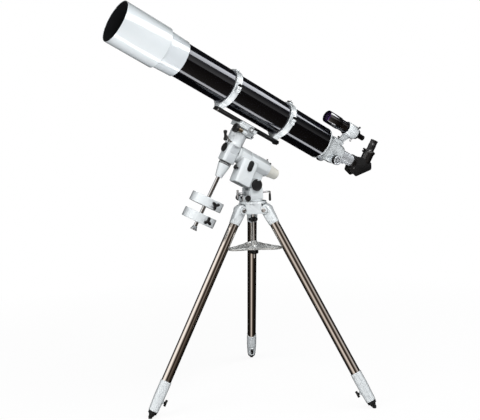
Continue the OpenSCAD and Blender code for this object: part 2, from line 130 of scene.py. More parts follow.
@dataclass(frozen=True)
class Layout:
    """The part's main sizes, as its source gives them, in millimetres."""

    shift: float = -11.0574
    pol_alt: float = 27.0
    ra_turn: float = -8.0
    cross_x: float = 114.0
    cross_z: float = 1179.0
    tube_h: float = 245.0
    front_s: float = 758.0
    shield_s: float = 530.0
    cell_s: float = 430.0
    rear_s: float = -433.0
    draw_s: float = -650.0
    diag_s: float = -740.0
    tube_r: float = 80.0
    shield_r: float = 96.0
    ring_a: float = 152.0
    ring_b: float = -180.0
    hinge_z: float = 896.0
    hinge_r: float = 72.0
    foot_r: float = 587.0
    leg_r: float = 23.0
    collar_len: float = 142.0
    tray_z: float = 712.0
    base_z: float = 936.0
    alt_z: float = 1012.0
    screw_z: float = 974.0
    finder_h: float = 128.0
    finder_lean: float = 15.0

    def azimuth(self) -> Axes:
        """Frame on the azimuth axis, at the floor."""
        return Axes(np.array([self.shift, 0.0, 0.0]), *np.eye(3))

    def polar(self) -> Axes:
        """Frame at the crossing of the axes: z to the front, x away from the mount."""
        a = math.radians(self.pol_alt)
        c, s = math.cos(a), math.sin(a)
        return Axes(np.array([self.shift - self.cross_x, 0.0, self.cross_z]),
                    np.array([s, 0.0, c]), np.array([0.0, 1.0, 0.0]),
                    np.array([-c, 0.0, s]))

    def altitude_axis(self) -> tuple[float, float]:
        """The altitude bolt in the polar frame, as x and z."""
        a, rise = math.radians(self.pol_alt), self.cross_z - self.alt_z
        return (self.cross_x * math.sin(a) - rise * math.cos(a),
                -self.cross_x * math.cos(a) - rise * math.sin(a))

    def head(self) -> Axes:
        """The polar frame turned as the RA axis stands in the photograph."""
        return self.polar().spun(self.ra_turn)

    def tube(self) -> Axes:
        """Frame on the optical axis."""
        return self.head().moved(x=self.tube_h)

    def finder(self) -> Axes:
        """The tube's frame turned so that x points at the finder."""
        return self.tube().spun(-self.finder_lean)

    def spoke(self, i: int) -> Axes:
        """Frame on the azimuth axis with x along leg i."""
        return self.azimuth().spun(180 + 120 * i)

    @property
    def spread(self) -> float:
        """Angle of a leg from the vertical, degrees."""
        return math.degrees(math.atan2(self.foot_r - self.hinge_r, self.hinge_z))

    @property
    def leg_len(self) -> float:
        """Length from a hinge to the floor along the leg."""
        return math.hypot(self.foot_r - self.hinge_r, self.hinge_z)

    def leg(self, i: int) -> Axes:
        """Frame at hinge i with z down the leg."""
        return self.spoke(i).moved(x=self.hinge_r, z=self.hinge_z).tilted(180 - self.spread)


PLAN = Layout()


# ---------------------------------------------------------------- colours and nodes
def linear(hex_colour: str) -> tuple[float, float, float, float]:
    """Turns an sRGB hex colour such as "#A0B0C0" into linear, opaque RGBA."""
    v = [int(hex_colour[i:i + 2], 16) / 255 for i in (1, 3, 5)]
    r, g, b = [c / 12.92 if c <= 0.04045 else ((c + 0.055) / 1.055) ** 2.4 for c in v]
    return r, g, b, 1.0


def add_node(tree: Tree, kind: str, links: dict | None = None, **settings) -> bpy.types.Node:
    """Adds one node with its settings, input values and links.

    Args:
        tree: node tree to add to.
        kind: Blender's node type name.
        links: input name or number to an output socket or a plain value.
        settings: node properties by name.
    """
    node = tree.nodes.new(kind)
    for key, value in settings.items():
        setattr(node, key, value)
    for key, value in (links or {}).items():
        if isinstance(value, Socket):
            tree.links.new(value, node.inputs[key])
        else:
            node.inputs[key].default_value = value
    return node


def ramp(tree: Tree, factor: Socket, stops: Sequence[tuple[float, tuple]]) -> Socket:
    """Colour ramp through (position, linear RGBA) stops; returns its colour output."""
    node = add_node(tree, "ShaderNodeValToRGB", {0: factor})
    cr = node.color_ramp
    while len(cr.elements) < len(stops):
        cr.elements.new(0.5)
    for element, (pos, colour) in zip(cr.elements, stops):
        element.position = pos
        element.color = colour
    return node.outputs[0]


def blank_material(name: str) -> tuple[Material, Tree]:
    """An empty node material and its tree."""
    mat = bpy.data.materials.new(name)
    mat.use_nodes = True
    mat.node_tree.nodes.clear()
    return mat, mat.node_tree


def finished(mat: Material, shader: Socket) -> Material:
    """The material with its shader joined to the output."""
    add_node(mat.node_tree, "ShaderNodeOutputMaterial", {0: shader})
    return mat


def reckon(tree: Tree, operation: str, *values: Socket | float) -> Socket:
    """One maths node on sockets or plain numbers; returns its output."""
    return add_node(tree, "ShaderNodeMath", dict(enumerate(values)),
                    operation=operation).outputs[0]


def remap(tree: Tree, value: Socket, low: float, high: float, to_low: float,
          to_high: float) -> Socket:
    """Runs a value from one range into another; returns its output."""
    return add_node(tree, "ShaderNodeMapRange", {
        0: value, 1: low, 2: high, 3: to_low, 4: to_high}).outputs[0]


def noise(tree: Tree, where: Socket, scale: float, detail: float = 2.0,
          rough: float = 0.5) -> Socket:
    """Noise at these coordinates; returns its height output."""
    return add_node(tree, "ShaderNodeTexNoise", {
        "Vector": where, "Scale": scale, "Detail": detail, "Roughness": rough}).outputs[0]


def blend(tree: Tree, factor: Socket, first: Socket | tuple, second: tuple) -> Socket:
    """Mixes two colours; returns the colour output."""
    return add_node(tree, "ShaderNodeMix", {"Factor": factor, 6: first, 7: second},
                    data_type="RGBA").outputs[2]


def either(tree: Tree, factor: Socket, first: Socket, second: Socket) -> Socket:
    """Mixes two shaders; returns the shader output."""
    return add_node(tree, "ShaderNodeMixShader",
                    {0: factor, 1: first, 2: second}).outputs[0]


def placed(name: str, data: bpy.types.ID) -> Object:
    """A new object of that data, linked into the scene."""
    obj = bpy.data.objects.new(name, data)
    bpy.context.scene.collection.objects.link(obj)
    return obj


class Grain(Enum):
    """How a finish's fine texture runs over the surface."""

    PEEL = "orange peel of sprayed enamel"
    MOULD = "fine spark-eroded mould grain"
    CAST = "sand-cast or die-cast skin"
    DRAWN = "draw lines along the part's length"
    TURNED = "lathe lines around the part"


@dataclass(frozen=True)
class Finish:
    """One surface finish, built as a node material on Object coordinates."""

    name: str
    colour: str
    worn: str
    rough: float
    metallic: float = 0.0
    coat: float = 0.0
    coat_rough: float = 0.05
    coat_ior: float = 1.5
    coat_tint: str = "#FFFFFF"
    specular: float = 0.5
    grain: Grain = Grain.PEEL
    grain_mm: float = 2.0
    bump: float = 0.1
    mottle: float = 0.25
    rough_span: float = 0.06
    # rim: share of painted shade, grey blended in where the surface turns away from the view
    rim: float = 0.0
    slot: str = "white_castings"

    def build(self) -> Material:
        """Makes the material: colour drift, painted edge shade, roughness drift and a fine bump."""
        mat, tree = blank_material(self.name)
        obj = add_node(tree, "ShaderNodeTexCoord").outputs["Object"]
        drift = noise(tree, obj, 14.0, 4.0)
        base = blend(tree, remap(tree, drift, 0.35, 0.75, 0.0, self.mottle),
                     linear(self.colour), linear(self.worn))
        # painted shade: colour goes towards grey #64686A where the surface turns away from the
        # view, standing for dark surroundings reflected at glancing angles
        if self.rim:
            facing = add_node(tree, "ShaderNodeLayerWeight", {"Blend": 0.5}).outputs["Facing"]
            base = blend(tree, remap(tree, facing, 0.22, 1.0, 0.0, self.rim), base,
                         linear("#64686A"))
        relief = add_node(tree, "ShaderNodeBump", {
            "Strength": self.bump, "Distance": 0.0004,
            "Height": self.fine_pattern(tree, obj)})
        inputs = {
            "Base Color": base, "Metallic": self.metallic, "Normal": relief.outputs[0],
            "Roughness": remap(tree, drift, 0.3, 0.7, max(self.rough - self.rough_span, 0.02),
                               self.rough + self.rough_span)}
        if not self.metallic:
            inputs["Specular IOR Level"] = self.specular
        if self.coat:
            inputs |= {"Coat Weight": self.coat, "Coat Roughness": self.coat_rough,
                       "Coat IOR": self.coat_ior, "Coat Tint": linear(self.coat_tint)}
        shader = add_node(tree, "ShaderNodeBsdfPrincipled", inputs)
        return finished(mat, shader.outputs[0])

    def fine_pattern(self, tree: Tree, obj: Socket) -> Socket:
        """Height pattern, on Object coordinates, whose cell is about grain_mm wide."""
        cells = 1.0 / (self.grain_mm * MM)
        if self.grain is Grain.PEEL:
            return noise(tree, obj, cells, 1.0)
        if self.grain is Grain.MOULD:
            return noise(tree, obj, cells, 3.0, 0.7)
        if self.grain is Grain.CAST:
            return add_node(tree, "ShaderNodeTexVoronoi", {
                "Vector": obj, "Scale": cells, "Randomness": 1.0}).outputs[0]
        # lines: the piece's own UV runs u round and v along, in metres
        uv = add_node(tree, "ShaderNodeUVMap", uv_map="skin").outputs[0]
        stretch = (1.0, 0.02, 1.0) if self.grain is Grain.DRAWN else (0.02, 1.0, 1.0)
        lay = add_node(tree, "ShaderNodeMapping", {"Vector": uv, "Scale": stretch})
        return noise(tree, lay.outputs[0], cells)


class Finishes:
    """Every finish on the telescope, each made once."""

    SHEET = {
        # white: sprayed gloss enamel on castings, faint peel; rim paints cool grey shade where the
        # surface turns away from the view
        "enamel": Finish("white_enamel", "#DFE4E6", "#D5DADD", 0.30, coat=0.5, coat_rough=0.12,
                         grain_mm=2.5, bump=0.008, rim=1.0),
        # white tube parts: rolled sheet, smoother than the castings, with the same painted rim
        # shade
        "enamel_sheet": Finish("white_enamel_sheet", "#D8DEE1", "#D1D7DA", 0.22, coat=0.8,
                               coat_rough=0.04, grain_mm=4.0, bump=0.01, rim=1.0),
        # cell sleeve: the same sheet enamel, painted one shade greyer as the shade behind the dew
        # shield's step, with the painted rim shade
        "enamel_sleeve_shade": Finish("painted_shade_enamel_sheet", "#CCD2D6", "#C5CCD0", 0.22, coat=0.8,
                                coat_rough=0.04, grain_mm=4.0, bump=0.01, rim=1.0),
        # sunk panels of the castings: satin, and painted greyer than the raised ribs as shade, with
        # the painted rim shade
        "enamel_panel_shade": Finish("satin_enamel_painted_shade", "#CBD0D3", "#C2C8CC", 0.42, coat=0.2,
                               grain_mm=1.6, bump=0.10, rim=1.0),
        # deep gloss black on the tube: mirror-like, faint peel
        "black_gloss": Finish("black_gloss_enamel", "#030304", "#060607", 0.16, coat=1.0,
                              coat_rough=0.04, grain_mm=4.0, bump=0.004, mottle=0.5,
                              rough_span=0.03, specular=0.2, coat_tint="#DDE6FF",
                              slot="black_gloss"),
        # finder tube: the same black, its clear coat thicker and a little softer
        "finder_gloss": Finish("finder_black_enamel", "#030304", "#060607", 0.2, coat=1.0,
                               coat_rough=0.11, coat_ior=2.0, grain_mm=3.0, bump=0.02,
                               specular=0.2, coat_tint="#DDE6FF", slot="finder_black"),
        # black acetal and nylon knobs: dull with a fine mould grain
        "plastic": Finish("black_moulded_plastic", "#121213", "#1C1D1E", 0.42, grain=Grain.MOULD,
                          grain_mm=0.5, bump=0.25, slot="black_plastic"),
        # hard-anodised machined aluminium: dark, a little metallic sheen
        "anodised": Finish("black_anodised_aluminium", "#0A0A0C", "#131416", 0.36,
                           grain=Grain.MOULD, grain_mm=0.4, bump=0.15, coat=0.2,
                           slot="black_anodised"),
        # legs: welded steel tube, polished and clear, warm in its reflections
        "leg_steel": Finish("polished_leg_steel", "#D2CBC5", "#C8C0B8", 0.07, metallic=1.0,
                            grain=Grain.DRAWN, grain_mm=0.6, bump=0.01, rough_span=0.03,
                            slot="steel"),
        # shafts and rods: ground bright steel
        "bright_steel": Finish("ground_bright_steel", "#C6C7C9", "#AEB0B3", 0.14, metallic=1.0,
                               grain=Grain.TURNED, grain_mm=0.5, bump=0.05, slot="steel"),
        # drawtube and focus knobs: satin turned aluminium
        "satin": Finish("satin_turned_aluminium", "#D0D3D6", "#BEC2C6", 0.28, metallic=1.0,
                        grain=Grain.TURNED, grain_mm=0.5, bump=0.08, slot="silver"),
        # drawtube and knob faces: clear-anodised, brighter and less mirror-like
        "satin_clear": Finish("clear_anodised_aluminium", "#D9DEE3", "#D0D5DA", 0.36,
                              metallic=0.6, grain=Grain.TURNED, grain_mm=0.5, bump=0.02,
                              mottle=0.1, rough_span=0.02, slot="silver"),
        # diagonal housing: black enamel under clear coat
        "black_coat": Finish("black_coated_housing", "#050506", "#0B0B0C", 0.34, coat=0.7,
                             coat_rough=0.1, grain_mm=1.5, bump=0.04, slot="black_anodised"),
        # tray: bright die casting, slightly grey
        "tray": Finish("cast_tray_aluminium", "#CBCDCC", "#B4B7B6", 0.27, metallic=0.45,
                       grain=Grain.CAST, grain_mm=2.0, bump=0.10, mottle=0.6, slot="tray_metal"),
        # small screws: blackened steel
        "screw": Finish("blackened_steel_screw", "#2A2A2B", "#3B3B3D", 0.35, metallic=1.0,
                        grain=Grain.MOULD, grain_mm=0.6, bump=0.1, slot="black_plastic"),
        # brass barrel of the saddle clamp
        "brass": Finish("dull_turned_brass", "#8F8472", "#6E6453", 0.3, metallic=1.0,
                        grain=Grain.TURNED, grain_mm=0.5, bump=0.08, slot="steel"),
        # feet: carbon-black rubber, dull
        "rubber": Finish("black_rubber", "#151617", "#202122", 0.72, grain=Grain.MOULD,
                         grain_mm=0.8, bump=0.35, specular=0.35, slot="rubber"),
        # polar cap: cream ABS, smooth
        "cream": Finish("cream_plastic", "#D9D8D0", "#CFCDC3", 0.38, grain=Grain.MOULD,
                        grain_mm=0.7, bump=0.08, slot="scope_cream"),
        # inside of the tube and shield: flat black flocking
        "flock": Finish("flat_black_lining", "#17181A", "#222326", 0.9, grain=Grain.MOULD,
                        grain_mm=0.7, bump=0.4, specular=0.2, slot="black_plastic"),
    }

    def __init__(self) -> None:
        """Starts with nothing made."""
        self.made: dict[str, Material] = {}

    def get(self, key: str) -> Material:
        """The material of that key, made on first use."""
        if key not in self.made:
            self.made[key] = self.SHEET[key].build()
        return self.made[key]


SKIN = Finishes()


# ---------------------------------------------------------------- shapes
def rounded(points: Sequence[Sequence[float]], radius: float, steps: int = 4,
            closed: bool = True) -> Array:
    """Rounds the corners of a 2-D polyline.

    Each corner P between A and B is replaced by a quadratic arc from P + t(A - P) to
    P + t(B - P), t set so that the arc leaves the corner by at most the radius.

    Args:
        points: corners.
        radius: cut-back along each side, limited to 45% of the side.
        steps: points on each arc.
        closed: whether the last corner joins the first.

    Returns:
        The rounded polyline.
    """
    p = np.asarray(points, float)
    n = len(p)
    out = []
    for i in range(n):
        if not closed and i in (0, n - 1):
            out.append(p[i:i + 1])
            continue
        a, b = p[i - 1] - p[i], p[(i + 1) % n] - p[i]
        la, lb = np.linalg.norm(a), np.linalg.norm(b)
        q = min(radius, 0.45 * la, 0.45 * lb)
        s, e = p[i] + a / la * q, p[i] + b / lb * q
        t = np.linspace(0, 1, steps + 1)[:, None]
        out.append((1 - t) ** 2 * s + 2 * t * (1 - t) * p[i] + t ** 2 * e)
    return np.concatenate(out)


def circle(radius: float, n: int, start: float = 0.0) -> Array:
    """Points of a circle in the plane, the first at start degrees."""
    a = np.linspace(0, 2 * np.pi, n, endpoint=False) + math.radians(start)
    return np.stack([radius * np.cos(a), radius * np.sin(a)], 1)


def lobes(body: float, reach: float, count: int, n: int, power: float) -> Array:
    """Outline r(a) = body + (reach - body) * |cos(count * a / 2)|^power."""
    a = np.linspace(0, 2 * np.pi, n, endpoint=False)
    r = body + (reach - body) * np.abs(np.cos(count * a / 2)) ** power
    return np.stack([r * np.cos(a), r * np.sin(a)], 1)


def fluted(depth: float, beyond: float, count: int) -> Swell:
    """Flutes of a knob's rim: r(a) = r (1 + depth cos(count a)) where r is beyond a radius."""
    return lambda r, h, a: r * (1 + depth * (r > beyond) * np.cos(count * a))


def inset(outline: Array, by: float) -> Array:
    """Moves a closed anticlockwise outline inwards by a distance, corner by corner."""
    prev, nxt = np.roll(outline, 1, 0), np.roll(outline, -1, 0)
    e1, e2 = outline - prev, nxt - outline
    e1 /= np.linalg.norm(e1, axis=1)[:, None]
    e2 /= np.linalg.norm(e2, axis=1)[:, None]
    n1 = np.stack([-e1[:, 1], e1[:, 0]], 1)
    n2 = np.stack([-e2[:, 1], e2[:, 0]], 1)
    m = n1 + n2
    m /= np.maximum((m * n1).sum(1), 0.35)[:, None]
    return outline + m * by


def oblong(a0: float, a1: float, b0: float, b1: float) -> list[tuple[float, float]]:
    """Corners of a rectangle: an outline, or a tube's wall between radii and heights."""
    return [(a0, b0), (a1, b0), (a1, b1), (a0, b1)]


def solid(*points: tuple[float, float]) -> list[tuple[float, float]]:
    """A profile for the lathe, closed on the axis at its first and last heights."""
    return [(AXIS_R, points[0][1]), *points, (AXIS_R, points[-1][1])]


@contextmanager
def welded(mesh: bpy.types.Mesh, sharp: float) -> Iterator[bmesh.types.BMesh]:
    """Opens a mesh with its seams merged, then shades it smooth up to sharp degrees."""
    bm = bmesh.new()
    bm.from_mesh(mesh)
    bmesh.ops.remove_doubles(bm, verts=bm.verts, dist=SEAM)
    yield bm
    bm.to_mesh(mesh)
    bm.free()
    mesh.shade_smooth()
    mesh.set_sharp_from_angle(angle=math.radians(sharp))


@dataclass
class Shell:
    """Points, faces and a surface chart of one closed shell."""

    points: Array
    faces: list
    chart: Array


class Piece:
    """One visible piece, gathered from closed shells and then made a mesh.

    Each shape method returns the piece, so that calls can be chained.
    """

    def __init__(self, name: str, finish: str | Material, body: str,
                 stands_for: Iterable[str] = (), slot: str = "", sharp: float = 35.0) -> None:
        """Remembers what the piece is and what it rides on.

        Args:
            name: object name.
            finish: key of a finish, or a material.
            body: CAD body that it moves with.
            stands_for: CAD nodes that it replaces.
            slot: the record's material slot, where it isn't the finish's usual one; not used.
            sharp: edges over this angle stay crisp, degrees.
        """
        self.name, self.finish, self.body = name, finish, body
        self.stands_for, self.slot, self.sharp = stands_for, slot, sharp
        self.shells: list[Shell] = []

    def grid(self, pts: Array, loop: bool = False, chart: Array | None = None) -> "Piece":
        """Adds a grid of world points (m, n, 3): closed rows, each joined to the next.

        Args:
            pts: world points in metres, m rows of n.
            loop: joins the last row to the first; otherwise one face closes each end.
            chart: surface coordinates (m, n, 2) in metres; made from lengths if absent.
        """
        m, n = pts.shape[:2]
        if chart is None:
            du = np.linalg.norm(np.diff(pts, axis=1), axis=2).mean(0)
            dv = np.linalg.norm(np.diff(pts, axis=0), axis=2).mean(1)
            u = np.concatenate([[0], np.cumsum(du)])
            v = np.concatenate([[0], np.cumsum(dv)])
            chart = np.stack(np.meshgrid(u, v), 2)
        idx = np.arange(m * n).reshape(m, n)
        i, j = np.meshgrid(np.arange(m if loop else m - 1), np.arange(n), indexing="ij")
        i2, j2 = (i + 1) % m, (j + 1) % n
        quads = np.stack([idx[i, j], idx[i, j2], idx[i2, j2], idx[i2, j]], -1)
        faces = quads.reshape(-1, 4).tolist()
        if not loop:
            faces.append(idx[0, ::-1].tolist())
            faces.append(idx[-1].tolist())
        self.shells.append(Shell(pts.reshape(-1, 3), faces, chart.reshape(-1, 2)))
        return self

    def lathe(self, axes: Axes, profile: Sequence[Sequence[float]], n: int = 64,
              soft: float = 0.0, ring: bool = False,
              swell: Swell | None = None) -> "Piece":
        """Turns a profile of (radius, height) about z: P = (r cos a, r sin a, h).

        Args:
            axes: frame of the turning.
            profile: (r, h) corners from bottom to top, or a closed loop for a ring.
            n: sides.
            soft: rounding of the profile's corners.
            ring: the profile is a closed loop.
            swell: radius as a function of (r, h, angle), for flutes and knurls.
        """
        prof = np.asarray(profile, float)
        if soft:
            prof = rounded(prof, soft, 3, closed=ring)
        a = np.linspace(0, 2 * np.pi, n, endpoint=False)
        r = np.repeat(prof[:, :1], n, 1)
        h = np.repeat(prof[:, 1:], n, 1)
        ang = np.repeat(a[None, :], len(prof), 0)
        if swell is not None:
            r = swell(r, h, ang)
        pts = axes.at(np.stack([r * np.cos(ang), r * np.sin(ang), h], 2))
        span = np.concatenate([[0], np.cumsum(np.linalg.norm(np.diff(prof, axis=0), axis=1))])
        chart = np.stack([ang * max(prof[:, 0].max(), 1) * MM,
                          np.repeat(span[:, None], n, 1) * MM], 2)
        return self.grid(pts, loop=ring, chart=chart)

    def prism(self, axes: Axes, outline: Array, z0: float, z1: float,
              edge: float = 1.0, steps: int = 3) -> "Piece":
        """Extrudes an outline along z with rounded rims.

        The rim follows inset = e(1 - sin t), height = e(1 - cos t), t from 0 to 90.

        Args:
            axes: frame of the outline.
            outline: (k, 2) points, either way round.
            z0: bottom.
            z1: top.
            edge: rim radius.
            steps: rings on each rim.
        """
        x, y = outline.T
        if (x * np.roll(y, -1) - y * np.roll(x, -1)).sum() < 0:
            outline = outline[::-1]
        t = np.linspace(0, np.pi / 2, steps + 1)
        rings = []
        for q in t:
            rings.append((edge * (1 - math.sin(q)), z0 + edge * (1 - math.cos(q))))
        for q in t[::-1]:
            rings.append((edge * (1 - math.sin(q)), z1 - edge * (1 - math.cos(q))))
        rows = []
        for by, z in rings:
            flat = inset(outline, by) if by > 1e-9 else outline
            rows.append(np.concatenate([flat, np.full((len(flat), 1), z)], 1))
        return self.grid(axes.at(np.stack(rows)))

    def box(self, axes: Axes, x: tuple[float, float], y: tuple[float, float],
            z: tuple[float, float], corner: float = 3.0, edge: float = 1.0) -> "Piece":
        """Block between limits with rounded upright corners and rims."""
        return self.prism(axes, rounded(oblong(*x, *y), corner, 5), z[0], z[1], edge)

    def sweep(self, axes: Axes, path: Sequence[Sequence[float]], radius: float | Array,
              n: int, soft: float = 0.0) -> "Piece":
        """Carries a circle along a path, its frame turned as little as it can be.

        Args:
            axes: frame of the path.
            path: local points in millimetres.
            radius: one radius, or one for each point.
            n: sides.
            soft: rounding of the path's corners.
        """
        p = np.asarray(path, float)
        if soft:
            p = rounded(p, soft, 6, closed=False)
        rad = np.full(len(p), radius, float) if np.isscalar(radius) else np.asarray(radius, float)
        tan = np.gradient(p, axis=0)
        tan /= np.linalg.norm(tan, axis=1)[:, None]
        side = np.cross(tan[0], [0.0, 0.0, 1.0])
        if np.linalg.norm(side) < 1e-3:
            side = np.cross(tan[0], [1.0, 0.0, 0.0])
        ang = np.linspace(0, 2 * np.pi, n, endpoint=False)
        rows = []
        for k in range(len(p)):
            side = side - tan[k] * (side @ tan[k])
            side /= np.linalg.norm(side)
            up = np.cross(tan[k], side)
            rows.append(p[k] + rad[k] * (np.cos(ang)[:, None] * side
                                         + np.sin(ang)[:, None] * up))
        return self.grid(axes.at(np.stack(rows)))

    def grip(self, axes: Axes, z: Array, radius: Array) -> "Piece":
        """Turns a grip about z with rounded-in ends, from radii at these heights."""
        radius[0] = radius[-1] = 4.0
        return self.sweep(axes, np.stack([0 * z, 0 * z, z], 1), radius, 24)

    def make(self) -> None:
        mesh = bpy.data.meshes.new(self.name)
        pts = np.concatenate([s.points for s in self.shells])
        chart = np.concatenate([s.chart for s in self.shells])
        faces, base = [], 0
        for s in self.shells:
            faces += [[base + v for v in f] for f in s.faces]
            base += len(s.points)
        mesh.from_pydata(pts.tolist(), [], faces)
        uv = mesh.uv_layers.new(name="skin")
        corner = np.empty(len(mesh.loops), np.int32)
        mesh.loops.foreach_get("vertex_index", corner)
        uv.data.foreach_set("uv", chart[corner].astype(np.float32).ravel())
        with welded(mesh, self.sharp) as bm:
            bmesh.ops.dissolve_degenerate(bm, edges=bm.edges, dist=1e-7)
            bmesh.ops.recalc_face_normals(bm, faces=bm.faces)
        declare(placed(self.name, mesh), self.finish, self.body, self.stands_for)


def declare(obj: Object, finish: str | Material, body: str,
            stands_for: Iterable[str]) -> None:
    """Gives a piece its material, body and the CAD nodes it stands for."""
    obj.data.materials.clear()
    obj.data.materials.append(SKIN.get(finish) if isinstance(finish, str) else finish)
    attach(obj, body)
    if stands_for:
        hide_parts(*stands_for)
    LOG.info("%s: %d faces on %s", obj.name, len(obj.data.polygons), body)


def softened(node: str, body: str, radius: float) -> None:
    """An enamelled copy of a CAD casting whose edges are broken by a small bevel.

    Args:
        node: CAD node to stand for.
        body: body that it moves with.
        radius: bevel in millimetres.
    """
    mesh = frame["nodes"][node].data.copy()
    mesh.name = node + "_soft"
    with welded(mesh, 32.0) as bm:
        bmesh.ops.dissolve_limit(bm, angle_limit=math.radians(1.0), verts=bm.verts,
                                 edges=bm.edges, delimit={"NORMAL"})
    obj = placed(node + "_casting", mesh)
    bevel = obj.modifiers.new("broken_edges", "BEVEL")
    bevel.width = radius * MM
    bevel.segments = 2
    bevel.limit_method = "ANGLE"
    bevel.angle_limit = math.radians(40)
    bevel.harden_normals = True
    bevel.use_clamp_overlap = True
    declare(obj, "enamel", body, [node])


# ---------------------------------------------------------------- studio and camera
@dataclass
class PhotoCamera:
    """The camera that took the photograph, settled by the image points."""

    width: int = 480
    height: int = 420
    place: tuple[float, float, float] = (-2056.292, -3109.377, 1283.706)
    right: tuple[float, float, float] = (0.84234, -0.53800, -0.03192)
    up: tuple[float, float, float] = (0.08297, 0.07094, 0.99402)
    forward: tuple[float, float, float] = (0.53252, 0.83995, -0.10439)
    focal_px: float = 785.8825
    sensor_mm: float = 36.0
    points: dict[str, tuple[float, float]] = field(default_factory=lambda: {
        "object_left": (102.8, 34.0),
        "object_top": (125.0, 0.5),
        "object_right": (377.4, 143.1),
        "foot_left": (150.3, 418.9),
        "foot_back": (251.1, 357.4),
        "foot_right": (375.4, 409.1),
        "clasp_front": (241.0, 83.0),
        "clasp_rear": (296.5, 117.4),
        "bar_screw": (218.0, 110.0),
        "bore_plug": (224.4, 147.4),
        "housing_dot": (238.2, 153.7),
        "gear_plug": (250.0, 166.9),
        "altitude_cap": (257.9, 185.1),
        "altitude_dot": (258.7, 180.2),
        "finder_thumb": (333.7, 136.3),
        "bracket_screw": (358.8, 127.2),
        "focus_knob": (334.4, 158.6),
        "diagonal_dot": (353.9, 168.4),
        "weight_knob": (215.4, 203.3),
        "saddle_knob": (235.2, 127.5),
    })

    def turn(self) -> Matrix:
        """Camera axes as columns right, up and back."""
        cols = np.stack([self.right, self.up, -np.asarray(self.forward)], 1)
        q, r = np.linalg.qr(cols)
        return Matrix((q * np.sign(np.diag(r))).tolist())

    def build(self) -> None:
        """Makes the camera and sets it as the scene's own."""
        data = bpy.data.cameras.new("photo_camera")
        data.sensor_fit = "AUTO"
        data.sensor_width = self.sensor_mm
        data.lens = self.focal_px * self.sensor_mm / max(self.width, self.height)
        data.clip_end = 200.0
        cam = placed("photo_camera", data)
        cam.matrix_world = Matrix.Translation(Vector(self.place) * MM) @ self.turn().to_4x4()
        bpy.context.scene.camera = cam

    def ray(self, x: float, y: float) -> tuple[Vector, Vector]:
        """Start and direction of the ray through image point (x, y)."""
        local = Vector((x - self.width / 2, self.height / 2 - y, -self.focal_px))
        return Vector(self.place) * MM, (self.turn() @ local).normalized()

    def project(self, world: Array) -> Array:
        """World points in metres to image points."""
        turn = np.array(self.turn())
        local = (np.asarray(world) - np.asarray(self.place) * MM) @ turn
        k = self.focal_px / -local[:, 2]
        return np.stack([local[:, 0] * k + self.width / 2,
                         self.height / 2 - local[:, 1] * k], 1)


def surface_tree(*objects: Object) -> BVHTree:
    """Search tree of the finished faces of these objects."""
    graph = bpy.context.evaluated_depsgraph_get()
    verts, polys = [], []
    for obj in objects:
        ev = obj.evaluated_get(graph)
        mesh = ev.to_mesh()
        base = len(verts)
        verts += [ev.matrix_world @ v.co for v in mesh.vertices]
        polys += [[base + v for v in p.vertices] for p in mesh.polygons]
        ev.to_mesh_clear()
    return BVHTree.FromPolygons(verts, polys)


def seat(camera: PhotoCamera, name: str, carrier: Object) -> Axes:
    """Frame on a carrier's surface where the ray of a named image point meets it.

    Args:
        camera: the photograph's camera.
        name: name of the image point.
        carrier: the piece that carries the fitting.

    Returns:
        A frame in millimetres with z along the surface's normal.
    """
    start, way = camera.ray(*camera.points[name])
    hit, normal, _, _ = surface_tree(carrier).ray_cast(start, way)
    if hit is None:
        raise ValueError(f"the ray of {name} misses {carrier.name}")
    z = np.array(normal if normal.dot(way) < 0 else -normal)
    x = np.cross([0.0, 0.0, 1.0], z)
    x = np.array([1.0, 0.0, 0.0]) if np.linalg.norm(x) < 1e-3 else x / np.linalg.norm(x)
    return Axes(np.array(hit) / MM, x, np.cross(z, x), z)


